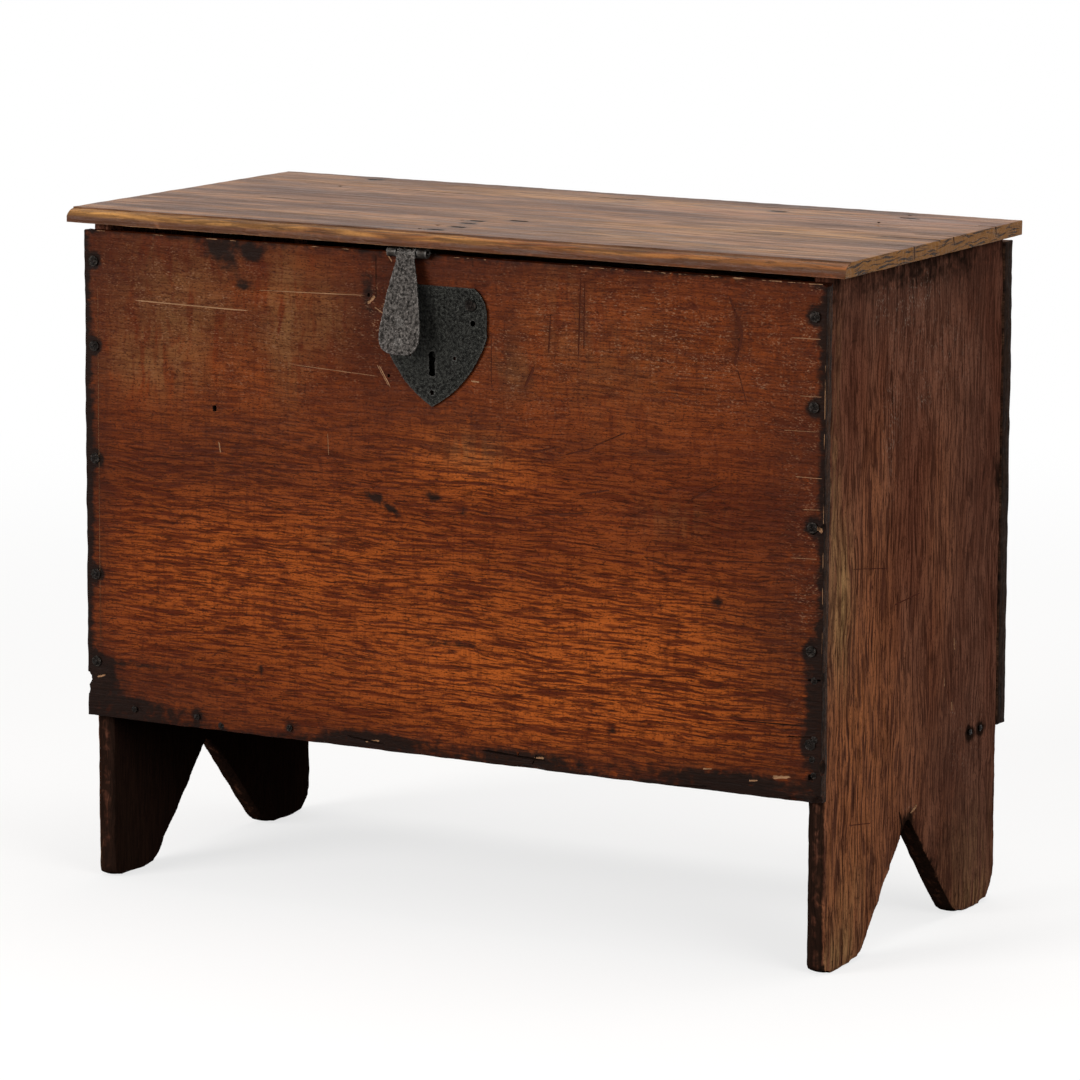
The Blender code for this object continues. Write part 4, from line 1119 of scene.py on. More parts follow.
@dataclass
class LidPlank(Plank):
    """The lid, with a thumbnail moulding along its front and ends that run in to the back."""

    moulding: float = 0.012
    lip: float = 0.003
    step: float = 0.0015
    left_taper: float = 0.010
    right_taper: float = 0.006
    rows_mm: tuple[float, ...] = (0.5, 1.3, 2.4, 4.0, 6.0, 8.5, 11.2, 11.9, 12.3)

    def mark(self, board: bpy.types.Object, edges: kdtree.KDTree) -> None:
        """Keep the marks of a board, and those of the moulding.

        The moulding is red with polish, more so to the right; its upward faces get a painted golden light and
        its foot a painted shade.

        Args:
            board: The finished lid.
            edges: Points along the solid's edges.
        """
        super().mark(board, edges)
        places, normals = points_of(board)
        low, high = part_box(self.node)
        moulded = places[:, 1] - low.y < self.moulding
        right = (places[:, 0] - low.x) / (high.x - low.x)
        # how far a face turns up: the rub tint paints golden light where it does, the shade mark paints shade
        # where it doesn't
        upper = np.clip((normals[:, 2] - 0.2) / 0.4, 0, 1)
        marks = {
            Mark.GLOW: 0.35 + 0.65 * right, Mark.RUB: upper * (1 - 0.75 * right),
            Mark.SHADE: 0.9 * (1 - upper),
        }
        for mark, wanted in marks.items():
            layer = board.data.attributes[mark.value].data
            value = np.empty(len(places), np.float32)
            layer.foreach_get("value", value)
            layer.foreach_set("value", np.where(moulded, wanted, value).astype(np.float32))

    def rough_out(self, solid: bpy.types.Object) -> bpy.types.Object:
        """Saw the block, then plane the moulding and the tapered ends.

        Args:
            solid: The CAD solid that it becomes.

        Returns:
            The lid.
        """
        board = super().rough_out(solid)
        low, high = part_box(self.node)
        with editing(board):
            for row in self.rows_mm:
                bpy.ops.mesh.select_all(action="SELECT")
                bpy.ops.mesh.bisect(plane_co=(0, low.y + row * MM, 0), plane_no=(0, 1, 0))
        places, _ = points_of(board)
        size = np.array(high - low)
        share = np.clip((places[:, 1] - low.y) / self.moulding, 0, 1)
        rise = size[2] - self.step - self.lip
        height = self.lip + rise * np.sqrt(1 - (1 - share) ** 2)
        height[share > 1 - WELD] = size[2]
        places[:, 2] = low.z + (places[:, 2] - low.z) * height / size[2]
        back = (places[:, 1] - low.y) / size[1]
        right = (places[:, 0] - low.x) / size[0]
        places[:, 0] += back * ((1 - right) * self.left_taper - right * self.right_taper)
        board.data.vertices.foreach_set("co", places.ravel())
        board.data.update()
        return board


@dataclass
class Nails:
    """Rose-headed nails: one is forged, and each nail is a copy with its own knocks."""

    look: bpy.types.Material
    sides: int = 9
    head: float = 0.0066
    crown: float = 0.0022
    shank: float = 0.0020
    point: float = 0.7
    dents: float = 0.0015
    sink: float = 0.0001  # below the CAD nail's crown
    tip_gap: float = 0.0005  # how much shorter than the CAD nail
    spin_step: float = 2.4  # the turn from one nail to the next, in radians
    made: list[bpy.types.Object] = field(default_factory=list)

    def forge(self) -> bpy.types.Object:
        """Forge the pattern: a faceted head on a tapered shank of unit length, along Z.

        Returns:
            The nail.
        """
        rim = self.crown * 0.3
        bpy.ops.object.select_all(action="DESELECT")
        bpy.ops.mesh.primitive_cylinder_add(
            vertices=self.sides, radius=self.head, depth=rim, location=(0, 0, -self.crown + rim / 2),
        )
        made = settle(bpy.context.object, "nail_pattern")
        with editing(made):
            pick(made, Pick.FACES, lambda face: face.normal.z > 0.9)
            bpy.ops.mesh.inset(thickness=self.head * 0.5)
            bpy.ops.transform.translate(value=(0, 0, self.crown * 0.5))
            bpy.ops.mesh.inset(thickness=self.head * 0.28)
            bpy.ops.transform.translate(value=(0, 0, self.crown * 0.16))
            pick(made, Pick.FACES, lambda face: face.normal.z < -0.9)
            bpy.ops.mesh.inset(thickness=self.head - self.shank)
            bpy.ops.mesh.extrude_region_move(TRANSFORM_OT_translate={"value": (0, 0, self.crown - 1)})
            bpy.ops.transform.resize(value=(self.point, self.point, 1))
            pick(made, Pick.EDGES, lambda edge: all(point.co.z > -self.crown * 1.01 for point in edge.verts))
            bpy.ops.mesh.bevel(offset=0.0003, segments=2, affect="EDGES")
        modify(made, "SUBSURF", subdivision_type="SIMPLE", levels=1, render_levels=1)
        return made

    def drive(
        self, pattern: bpy.types.Object, name: str, crown: Vector, way: Vector, length: float, body: str,
        node: str = "", size: float = 1.0,
    ) -> None:
        """Drive one nail.

        Args:
            pattern: The forged nail.
            name: The piece's name.
            crown: Where the top of its head comes.
            way: The way its head faces.
            length: From its crown to its point.
            body: The body it rides on.
            node: The CAD node it stands for, if any.
            size: Its head, as a share of the pattern's.
        """
        made = bpy.data.objects.new(name, pattern.data.copy())
        bpy.context.scene.collection.objects.link(made)
        made.data.name = name
        spin = Matrix.Rotation(self.spin_step * len(self.made), 4, "Z")
        turn = way.to_track_quat("Z", "Y").to_matrix().to_4x4()
        places, _ = points_of(made)
        deep = places[:, 2] < -2 * self.crown
        places[deep, 2] *= length
        places[:, :2] *= size
        rim = np.hypot(places[:, 0], places[:, 1]) / (self.head * size)
        made.data.vertices.foreach_set("co", places.ravel())
        made.data.transform(Matrix.Translation(crown) @ turn @ spin)
        blows = clouds("hammer", 0.0035, 2, 2.0)
        modify(made, "DISPLACE", texture=blows, mid_level=0.0, strength=-self.dents)
        made.data.materials.append(self.look)
        smooth(made)
        # the very rim is painted a little bright, as a rubbed edge and as a glint
        paint(made, Mark.EDGE, np.clip((rim - 0.8) / 0.2, 0, 1))
        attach(made, body)
        if node:
            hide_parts(node)
        self.made.append(made)

    def drive_nodes(
        self, pattern: bpy.types.Object, nodes: Iterable[str], way: Vector, body: str, worn: float = 1.0,
    ) -> None:
        """Drive a nail for each CAD nail.

        Args:
            pattern: The forged nail.
            nodes: The CAD nails.
            way: The way their heads face.
            body: The body they ride on.
            worn: How much of their heads is left.
        """
        for node in nodes:
            low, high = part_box(node)
            axis = max(range(3), key=lambda number: abs(way[number]))
            crown = (low + high) / 2
            crown[axis] = high[axis] if way[axis] > 0 else low[axis]
            crown -= way * self.sink
            across = max((high - low)[number] for number in range(3) if number != axis)
            size = worn * min(across / (2 * self.head), 1.0)
            length = (high - low)[axis] - self.tip_gap
            self.drive(pattern, "wrought_" + node, crown, way, length, body, node, size)


SMALL_NAIL = {"head": 0.0050, "crown": 0.0018, "shank": 0.0017}  # the nails that hold ironwork


@dataclass
class Forging:
    """One piece of ironwork: its CAD solid, beaten into an even skin with soft edges and dents."""

    node: str
    body: str
    slot: str
    look: bpy.types.Material
    grid: float = 0.0007
    dent: float = 0.0007
    dent_size: float = 0.007
    edge_reach: float = 0.0014

    def build(self) -> bpy.types.Object:
        """Forge the piece.

        Returns:
            The piece.
        """
        made = solid_copy(self.node, "forged_" + self.node)
        edges = sharp_edges(made, self.edge_reach / 2)
        modify(made, "REMESH", mode="VOXEL", voxel_size=self.grid)
        modify(made, "SMOOTH", factor=0.5, iterations=3)
        blows = clouds("dents", self.dent_size, 3, 1.8)
        modify(made, "DISPLACE", texture=blows, mid_level=0.0, strength=-self.dent)
        made.data.materials.append(self.look)
        smooth(made)
        places, _ = points_of(made)
        paint(made, Mark.EDGE, nearness(places, edges, self.edge_reach))
        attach(made, self.body)
        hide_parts(self.node)
        return made


def dress_nodes(nodes: Iterable[str], look: bpy.types.Material) -> None:
    """Give CAD nodes that stay a finish.

    Args:
        nodes: The nodes.
        look: Their finish.
    """
    for node in nodes:
        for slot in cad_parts[node].material_slots:
            slot.material = look


def patches(table: Mapping[Mark, Rows]) -> list[Patch]:
    """Read a table of patches: across, up, half width, half height, strength and any turn in degrees."""
    return [Patch(mark, row[:2], row[2:4], *row[4:]) for mark, rows in table.items() for row in rows]


def cuts(table: Mapping[Scar, Rows]) -> list[Cut]:
    """Read a table of cuts: across and up where they start, the same where they end, width and depth."""
    return [Cut(row[:2], row[2:4], *row[4:], scar) for scar, rows in table.items() for row in rows]


@dataclass(frozen=True)
class WornGlintRow:
    """A row of short pale wears along the front board's upper edge, which also paint its highlight, in
    millimetres.
    """

    places: range
    heights: tuple[float, float]
    length: float
    longer: float  # added once or twice to some lengths
    width: float
    wider: float  # added to every other width
    depth: float

    def cuts(self) -> list[Cut]:
        """The wears and painted highlights, in three lengths and two widths by turns.

        Returns:
            The cuts.
        """
        made = []
        start, end = self.heights
        for number, x in enumerate(self.places):
            last = x + self.length + self.longer * (number % 3)
            width = self.width + self.wider * (number % 2)
            made.append(Cut((x, start), (last, end), width, self.depth, Scar.PALE))
        return made


# wear on the front board's face with painted shade and glints, and the splits and scratches in it
FRONT_PATCHES: dict[Mark, Rows] = {
    Mark.SHADE: (
        # painted shade: under the lid's overhang, round the lock, along both ends and low on the board
        (8, 420, 26, 320, 0.6), (400, 652, 520, 24, 0.4), (802, 420, 56, 330, 0.6),
        (650, 570, 210, 90, 0.4), (352, 575, 34, 70, 0.6), (478, 570, 18, 60, 0.6),
        (420, 630, 90, 18, 0.6), (425, 500, 60, 22, 0.5), (540, 475, 60, 10, 0.35, 20),
        (640, 480, 30, 7, 0.5), (722, 600, 10, 34, 0.8, -8), (559, 602, 7, 42, 0.6),
        (524, 585, 6, 22, 0.5), (502, 541, 7, 16, 0.6, -25), (150, 445, 150, 60, 0.5),
        (60, 198, 130, 32, 0.55), (700, 176, 170, 22, 0.65), (400, 172, 420, 13, 0.6),
        (330, 600, 60, 75, 0.45), (40, 610, 45, 40, 0.5), (330, 490, 110, 60, 0.3),
        (745, 330, 60, 70, 0.3), (110, 600, 90, 60, 0.3),
    ),
    Mark.GLOW: (
        (520, 265, 230, 75, 0.9), (150, 320, 140, 95, 0.6), (640, 300, 130, 70, 0.8),
        (330, 350, 150, 60, 0.5), (450, 440, 90, 30, 0.4), (430, 458, 70, 34, 0.95),
        (560, 225, 220, 40, 0.6), (620, 560, 170, 90, 0.4), (200, 480, 130, 60, 0.3),
    ),
    Mark.RUB: (
        (110, 580, 75, 70, 0.62), (232, 575, 22, 70, 0.8), (280, 585, 28, 45, 0.5),
        (75, 520, 45, 30, 0.55), (440, 466, 38, 18, 0.55), (485, 545, 25, 22, 0.5),
        (285, 365, 12, 5, 0.6), (530, 600, 40, 50, 0.3), (600, 560, 60, 60, 0.25),
        (660, 420, 50, 20, 0.25),
    ),
    Mark.STAIN: (
        (157, 637, 19, 9, 0.9), (195, 637, 17, 8, 0.9), (187, 607, 14, 5, 0.85),
        (172, 622, 14, 12, 0.5), (333, 412, 13, 6, 0.9, -15), (352, 402, 11, 4, 0.8, -25),
        (398, 418, 10, 6, 0.9), (431, 408, 7, 5, 0.8), (703, 345, 7, 6, 0.8), (203, 232, 4, 10, 0.7),
        (593, 212, 4, 6, 0.7), (615, 352, 5, 4, 0.5), (455, 217, 5, 3, 0.6), (326, 610, 9, 28, 0.6),
        (718, 570, 9, 5, 0.45), (20, 200, 28, 30, 0.8), (60, 180, 70, 12, 0.7), (330, 176, 70, 9, 0.9),
        (500, 176, 70, 9, 0.8), (720, 178, 90, 11, 0.9), (806, 250, 14, 75, 0.9),
        (810, 450, 7, 130, 0.35), (808, 600, 9, 45, 0.35), (5, 420, 11, 230, 0.55),
        (60, 222, 60, 5, 0.5), (170, 218, 50, 4, 0.45), (420, 278, 60, 5, 0.55),
        *((x, z, 10, 9, 0.6) for x in (12, 802) for z in (221, 309, 424, 535, 619)),  # round the nails
    ),
    Mark.DUST: (
        # dust, and painted glints
        (600, 600, 150, 55, 0.7), (110, 600, 90, 50, 0.6), (720, 560, 80, 60, 0.6),
        (330, 590, 30, 45, 0.7), (500, 540, 60, 60, 0.5), (12, 203, 14, 14, 0.9),
        (200, 540, 170, 60, 0.4), (790, 420, 22, 220, 0.35), (800, 560, 14, 90, 0.8),
        (800, 380, 16, 60, 0.6), (805, 640, 10, 8, 0.9), (812, 450, 2.5, 200, 0.6),
        (515, 178, 14, 4, 0.8), (335, 174, 18, 4, 0.8), (780, 178, 26, 7, 0.6), (18, 622, 10, 10, 0.5),
    ),
}
FRONT_CUTS: dict[Scar, Rows] = {
    Scar.PALE: (
        (57, 583.5, 192, 582, 1.6, 0.35), (198, 603, 322, 606, 1.0, 0.3),
        (232, 534, 345, 529, 0.7, 0.25), (16, 235, 16.5, 625, 0.5, 0.25),
        (335, 541, 348, 521, 1.0, 0.3), (156, 452, 158, 441, 1.8, 0.4),
        (280, 470, 281, 449, 0.8, 0.25), (806, 424, 812, 421, 5.0, 2.0),
        (325, 598, 333, 606, 3.0, 0.5), (332, 596, 344, 589, 1.2, 0.3), (337, 541, 351, 519, 1.6, 0.3),
        (439, 532.5, 448, 532, 1.8, 0.4), (454, 566, 461, 566.5, 0.8, 0.3),
        (345, 649.6, 352, 640, 2.0, 0.5), (775, 598, 808, 598.5, 0.9, 0.3),
        (786, 545, 810, 545.5, 0.8, 0.3), (770, 512, 806, 513, 0.7, 0.3),
        (782, 470, 811, 470, 0.8, 0.3), (790, 440, 811, 441, 0.8, 0.3), (778, 394, 809, 395, 0.7, 0.3),
        (812.6, 300, 812.6, 470, 0.9, 0.5), (812.6, 490, 812.6, 630, 1.3, 0.5),
        (763, 186, 782, 188, 3.4, 0.6), (738, 180, 748, 181, 2.2, 0.5), (508, 176, 520, 178, 3.0, 0.6),
        (322, 173, 338, 175, 2.6, 0.5), (690, 186, 700, 187, 1.6, 0.4), (12, 205, 22, 208, 2.2, 0.5),
    ),
    Scar.BROWN: (
        (540, 470, 575, 480, 2.2, 0.3), (572, 481, 607, 497, 1.8, 0.3), (505, 470, 538, 478, 2.2, 0.3),
        (628, 482, 652, 480, 4.0, 0.4), (673, 438, 706, 456, 2.4, 0.3), (556, 434, 590, 441, 2.2, 0.3),
        (500, 409, 570, 418, 1.6, 0.25), (630, 379, 672, 371, 2.0, 0.3),
        (700, 384, 790, 389, 1.6, 0.3), (555, 562, 557, 642, 1.8, 0.25),
        (561, 570, 561, 635, 1.6, 0.25), (523, 565, 525, 602, 1.8, 0.25),
        (713, 632, 722, 612, 3.0, 0.3), (722, 614, 727, 596, 4.4, 0.3), (727, 598, 719, 568, 4.0, 0.3),
        (722, 566, 734, 528, 1.6, 0.3), (497, 530, 508, 552, 3.4, 0.3), (461, 532, 461, 582, 1.4, 0.3),
    ),
    Scar.DARK: (
        (334.4, 603, 334.4, 648, 0.9, 0.5), (326, 605, 326.5, 608.5, 3.0, 3.0),
        (348, 529, 348.6, 532.5, 3.0, 3.0), (302, 176, 345, 172, 2.2, 4.0),
        (452, 178, 522, 175, 2.4, 5.0), (722, 236, 795, 237.5, 1.2, 1.5),
        (655, 166, 700, 170, 1.6, 3.0), (507, 170, 512, 180, 1.4, 3.0), (152, 481, 151, 487, 5.0, 7.0),
        (802, 417, 801, 423, 5.0, 7.0), (800, 190, 806, 190, 6.0, 6.0), (440, 655, 441, 640, 0.8, 0.6),
        (776, 226, 806, 228, 1.4, 2.5), (798, 281, 812, 282, 2.4, 4.0),
    ),
}
# the front's rubbed upper edge, to the right and to the left of the lock, drawn pale as wear and as a painted
# highlight on the arris
FRONT_EDGE_WEAR_AND_GLINT = (
    WornGlintRow(range(355, 805, 19), (649.1, 649.3), 14, 5, 2.0, 0.5, 0.5),
    WornGlintRow(range(14, 320, 31), (649.2, 649.4), 12, 6, 1.5, 0.0, 0.4),
)

# nail points clenched on the lid's top, and the wear and cuts there
LID_POINTS: Rows = (
    (389, 17), (398, 46), (391, 76), (388, 97), (423, 118), (597, 322), (733, 335), (117, 358),
)
LID_PATCHES: dict[Mark, Rows] = {
    Mark.RUB: (
        (380, 325, 300, 26, 0.8), (540, 140, 140, 22, 0.55), (720, 175, 110, 34, 0.8),
        (560, 70, 80, 25, 0.6), (690, 40, 140, 18, 0.6), (300, 60, 120, 16, 0.4),
    ),
    Mark.GLOW: (
        (760, 330, 80, 30, 0.7), (600, 300, 180, 25, 0.6),
    ),
    Mark.STAIN: (
        (640, 368, 160, 10, 0.5), (330, 372, 120, 7, 0.4), (320, 289, 28, 4, 0.5),
        (440, 283, 70, 3, 0.35), (130, 163, 90, 4, 0.45), (215, 140, 40, 5, 0.35),
        (340, 15, 25, 14, 0.45), (645, 150, 45, 6, 0.4), (240, 35, 12, 8, 0.4), (265, 190, 10, 7, 0.3),
        (680, 5, 25, 5, 0.35), (830, 190, 40, 5, 0.4),
        *((x, y, 15, 10, 0.75) for x, y in LID_POINTS),
    ),
}
LID_CUTS: dict[Scar, Rows] = {
    Scar.PALE: (
        (300, 116, 315, 110, 2.0, 0.3), (260, 118, 275, 116, 1.4, 0.3), (728, 272, 737, 262, 2.4, 0.3),
    ),
    Scar.DARK: (
        (180, 296, 260, 292, 2.0, 0.8), (560, 349, 640, 352, 2.4, 1.0), (100, 165, 170, 163, 2.0, 0.8),
        (640, 148, 690, 154, 2.4, 0.8), (770, 190, 838, 192, 2.4, 2.0), (384, 340, 432, 338, 3.0, 1.0),
        (380, 18, 399, 16, 6.0, 0.5), (390, 47, 407, 45, 6.0, 0.5), (383, 77, 400, 75, 5.0, 0.5),
        (381, 98, 396, 96, 5.0, 0.5), (413, 119, 434, 117, 6.0, 0.5), (588, 323, 607, 321, 5.0, 0.5),
        (722, 336, 745, 334, 5.0, 0.5), (108, 359, 127, 357, 5.0, 0.5), (116, 386, 137, 384, 5.0, 0.5),
    ),
}

# wear on an end board's outer face with painted shade and glints, and the splits in the right one
END_PATCHES: dict[Mark, Rows] = {
    Mark.SHADE: (
        # painted shade, the first under the lid's overhang
        (200, 645, 260, 55, 0.55), (290, 150, 110, 110, 0.35), (330, 430, 60, 190, 0.3),
        (14, 420, 12, 260, 0.4), (330, 60, 70, 60, 0.35),
    ),
    Mark.RUB: (
        (45, 16, 40, 20, 0.7), (335, 14, 50, 16, 0.5), (42, 345, 18, 65, 1.0), (22, 470, 10, 120, 0.7),
        (60, 60, 50, 45, 0.3), (330, 60, 60, 45, 0.35),
    ),
    Mark.DUST: (
        # dust, and painted glints
        (190, 120, 12, 8, 0.9), (310, 170, 40, 40, 0.25), (117, 616, 16, 16, 0.9),
        (165, 612, 30, 22, 0.9), (205, 622, 28, 18, 0.7), (140, 490, 14, 50, 0.7),
        (205, 525, 10, 14, 0.8), (240, 560, 80, 60, 0.35), (285, 270, 6, 6, 0.9),
        (281, 207, 6, 6, 0.9),
    ),
    Mark.GLOW: (
        (70, 220, 75, 160, 1.0), (110, 420, 40, 120, 0.4), (250, 380, 40, 120, 0.35),
        (60, 70, 70, 60, 0.6), (150, 170, 90, 110, 0.5),
    ),
    Mark.STAIN: (
        # the first row is painted shade under the lid's overhang, the rest are stains
        (200, 640, 240, 22, 0.55), (322, 174, 10, 10, 0.75), (347, 176, 10, 10, 0.7),
        (185, 115, 22, 16, 0.5), (372, 420, 10, 25, 0.5), (270, 80, 60, 60, 0.3), (55, 175, 8, 5, 0.5),
        (225, 362, 14, 8, 0.35), (135, 285, 30, 4, 0.4), (280, 245, 45, 3, 0.35),
        (97, 515, 22, 3, 0.35, 8), (62, 590, 30, 2.5, 0.35),
    ),
}
END_CUTS = (
    Cut((178, 104), (168, 127), 3.0, 9.0), Cut((193, 121), (206, 126), 3.0, 1.5, Scar.PALE),
    Cut((60, 377), (140, 366), 1.0, 0.3, Scar.BROWN),
    Cut((150, 329), (205, 332), 1.4, 0.3, Scar.BROWN),
    Cut((60, 134), (110, 127), 1.4, 0.3, Scar.BROWN), Cut((283, 276), (284, 264), 2.2, 0.4, Scar.PALE),
    Cut((279, 214), (280, 205), 2.4, 0.4, Scar.PALE),
    Cut((262, 240), (262.5, 232), 1.6, 0.3, Scar.PALE), Cut((30, 2), (32, 30), 1.2, 4.0),
    Cut((50, 1), (49, 22), 1.2, 4.0), Cut((300, 3), (303, 34), 1.3, 4.0),
)


@dataclass
class Carcass:
    """The six-board box without its lid: front, back, two ends and bottom, and the nails that hold it."""

    front_cuts: tuple[tuple[int, ...], ...] = ((15, 12), (3,), (10, 10))
    back_cuts: tuple[tuple[int, ...], ...] = ((15, 8), (3,), (10, 7))
    bottom_cuts: tuple[tuple[int, ...], ...] = ((15, 7), (7, 6), (2,))
    front_bites: tuple[Bite, ...] = (
        Bite((-3, 4, 203), (9, 12, 8)), Bite((-2, 0, 192), (5, 8, 7)), Bite((816, 2, 651), (8, 12, 5)),
        Bite((-3, 5, 653), (7, 14, 6)), Bite((815, 0, 424), (5, 5, 5)), Bite((816, 1, 200), (5, 9, 9)),
        Bite((815, 0, 284), (3, 6, 8)), Bite((700, -1, 162), (28, 5, 6)), Bite((505, -1, 162), (22, 6, 8)),
        Bite((325, -1, 162), (26, 5, 7)), Bite((790, -1, 164), (16, 5, 7)), Bite((60, -1, 163), (20, 4, 3)),
        Bite((190, -1, 163), (14, 4, 4)), Bite((255, -1, 163), (18, 4, 3)), Bite((420, -1, 163), (30, 4, 4)),
        Bite((575, -1, 162), (24, 5, 5)), Bite((640, -1, 163), (15, 4, 4)), Bite((745, -1, 162), (18, 5, 5)),
        Bite((812, -1, 165), (8, 6, 9)),
    )
    front_nails: float = 0.88  # heads of the front's nails, as a share of the pattern's
    small_nails: float = 0.55  # and those of the nails that hold the bottom
    nail_out: float = 0.0016  # heads of the nails that no node holds, above the board's face
    nail_length: float = 0.03  # and their length
    spare_nails_mm: tuple[tuple[float, float], ...] = (
        (157, 171), (805, 281), (806, 226), (804, 207), (806, 192),
    )
    boards: list[bpy.types.Object] = field(default_factory=list)

    def build(self, looks: Mapping[str, bpy.types.Material]) -> None:
        """Make the boards.

        Args:
            looks: The finishes by name.
        """
        front = Plank(
            "front_board", "front_plank", "carcass", "oak_front", Face.FRONT, looks["front"], self.front_cuts,
            patches(FRONT_PATCHES), [*cuts(FRONT_CUTS), *(cut for row in FRONT_EDGE_WEAR_AND_GLINT for cut in row.cuts())],
            self.front_bites, arris=0.0012, swell=0.0004, grain_range=(430, 560),
        )
        back = Plank(
            "back_board", "back_plank", "carcass", "oak_back", Face.BACK, looks["back"], self.back_cuts,
        )
        bottom = Plank(
            "bottom_board", "bottom_plank", "carcass", "oak_inside", Face.TOP, looks["inside"],
            self.bottom_cuts, wear=0.001, dirt_and_shade_below=1.0,
        )
        ends = [
            EndPlank(
                f"{side}_end_board", f"{side}_end_plank", "carcass", "oak_end", face, looks["end"],
                ((), (), ()), patches(END_PATCHES), END_CUTS if side == "right" else (), wear=0.0014,
                wear_reach=0.008, dirt_and_shade_below=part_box("bottom_board")[0].z,
            )
            for side, face in (("left", Face.LEFT), ("right", Face.RIGHT))
        ]
        for board in (front, back, bottom, *ends):
            self.boards.append(board.build(looks))
            LOG.info("board %s: %d faces", board.piece, len(self.boards[-1].data.polygons))

    def nail(self, nails: Nails) -> None:
        """Drive the carcass's nails.

        Args:
            nails: The nails to use.
        """
        pattern = nails.forge()
        front = [f"front_nail_{side}_{number}" for side in ("left", "right") for number in range(1, 6)]
        nails.drive_nodes(pattern, front, Vector((0, -1, 0)), "carcass", self.front_nails)
        low = [f"bottom_nail_{number}" for number in range(1, 4)]
        nails.drive_nodes(pattern, low, Vector((0, -1, 0)), "carcass", self.small_nails)
        back = [f"back_nail_{side}_{number}" for side in ("left", "right") for number in range(1, 4)]
        nails.drive_nodes(pattern, back, Vector((0, 1, 0)), "carcass")
        for side, way in (("left", -1), ("right", 1)):
            ends = [f"end_nail_{side}_{number}" for number in (1, 2)]
            nails.drive_nodes(pattern, ends, Vector((way, 0, 0)), "carcass", self.small_nails)
        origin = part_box("front_board")[0]
        for number, (x, z) in enumerate(self.spare_nails_mm, 1):
            crown = Vector((origin.x + x * MM, origin.y - self.nail_out, z * MM))
            nails.drive(
                pattern, f"wrought_spare_nail_{number}", crown, Vector((0, -1, 0)), self.nail_length,
                "carcass", size=self.small_nails,
            )
        discard(pattern)
        LOG.info("carcass nails: %d", len(nails.made))


@dataclass
class Lid:
    """The lid board."""

    cuts: tuple[tuple[int, ...], ...] = ((15, 8), (9, 7), (3,))
    # splits in from the right end: how far back, how long and how wide
    splits_mm: tuple[tuple[float, float, float], ...] = ((135, 34, 1.6), (222, 46, 1.8), (318, 24, 2.0))
    split_depth_mm: float = 13

    def build(self, looks: Mapping[str, bpy.types.Material]) -> None:
        """Make the lid.

        Args:
            looks: The finishes by name.
        """
        right = (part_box("lid_board")[1].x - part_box("front_board")[0].x) / MM
        splits = [
            Cut((right - run, y), (right + 4, y + 1), width, self.split_depth_mm)
            for y, run, width in self.splits_mm
        ]
        plank = LidPlank(
            "lid_board", "lid_plank", "lid", "oak_lid", Face.TOP, looks["lid"], self.cuts,
            patches(LID_PATCHES), [*cuts(LID_CUTS), *splits], arris=0.0010, wear=0.0005, wear_reach=0.004,
            swell=0.0004,
        )
        made = plank.build(looks)
        LOG.info("board %s: %d faces", plank.piece, len(made.data.polygons))


@dataclass
class Hinges:
    """Two strap hinges inside the chest: straps under the lid, leaves on the back board, and pins."""

    grid: float = 0.0008

    def build(self, look: bpy.types.Material, nails: Nails) -> None:
        """Forge the straps and leaves, and drive their nails.

        Args:
            look: Their finish.
            nails: The nails to use.
        """
        pattern = nails.forge()
        for side in ("left", "right"):
            Forging(f"hinge_strap_{side}", "lid", "iron_hinge", look, self.grid).build()
            Forging(f"hinge_leaf_{side}", "carcass", "iron_hinge", look, self.grid).build()
            straps = [f"hinge_strap_nail_{side}_{number}" for number in (1, 2)]
            leaves = [f"hinge_leaf_nail_{side}_{number}" for number in (1, 2)]
            nails.drive_nodes(pattern, straps, Vector((0, 0, -1)), "lid")
            nails.drive_nodes(pattern, leaves, Vector((0, -1, 0)), "carcass")
            dress_nodes([f"hinge_pin_{side}"], look)
            LOG.info("hinge %s", side)
        discard(pattern)


@dataclass
class Hasp:
    """The hasp that hangs from the lid over the lock, with its strap, staple and pin."""

    grid: float = 0.0006

    def build(self, look: bpy.types.Material, hidden: bpy.types.Material, nails: Nails) -> None:
        """Forge the hasp and its strap, and drive the strap's nails.

        Args:
            look: The hasp's finish.
            hidden: The strap's finish.
            nails: The nails to use.
        """
        Forging("hasp", "hasp", "iron_hasp", look, self.grid, dent=0.0009, dent_size=0.005).build()
        Forging("hasp_staple", "hasp", "iron_hasp", look, self.grid, dent=0.0003).build()
        Forging("hasp_strap", "lid", "iron_hasp", hidden, self.grid).build()
        dress_nodes(["hasp_pin"], look)
        pattern = nails.forge()
        nodes = [f"hasp_strap_nail_{number}" for number in (1, 2, 3)]
        nails.drive_nodes(pattern, nodes, Vector((0, 0, -1)), "lid")
        discard(pattern)
        LOG.info("hasp")


@dataclass
class Lock:
    """The lock: its plate on the face, its works in the board and a cover inside."""

    grid: float = 0.0006

    def build(self, look: bpy.types.Material, nails: Nails) -> None:
        """Forge the plates, and drive the plate's nails.

        Args:
            look: Their finish.
            nails: The nails to use.
        """
        Forging("lock_plate", "carcass", "iron_lock", look, self.grid, dent=0.0006, dent_size=0.010).build()
        Forging("lock_cover", "carcass", "iron_lock", look, 0.0008, dent=0.0004).build()
        dress_nodes(["lock_bolt", "bolt_guide_left", "bolt_guide_right", "bolt_spring", "key_pin"], look)
        pattern = nails.forge()
        nodes = [f"lock_plate_nail_{number}" for number in (1, 2)]
        nails.drive_nodes(pattern, nodes, Vector((0, -1, 0)), "carcass")
        discard(pattern)
        LOG.info("lock")


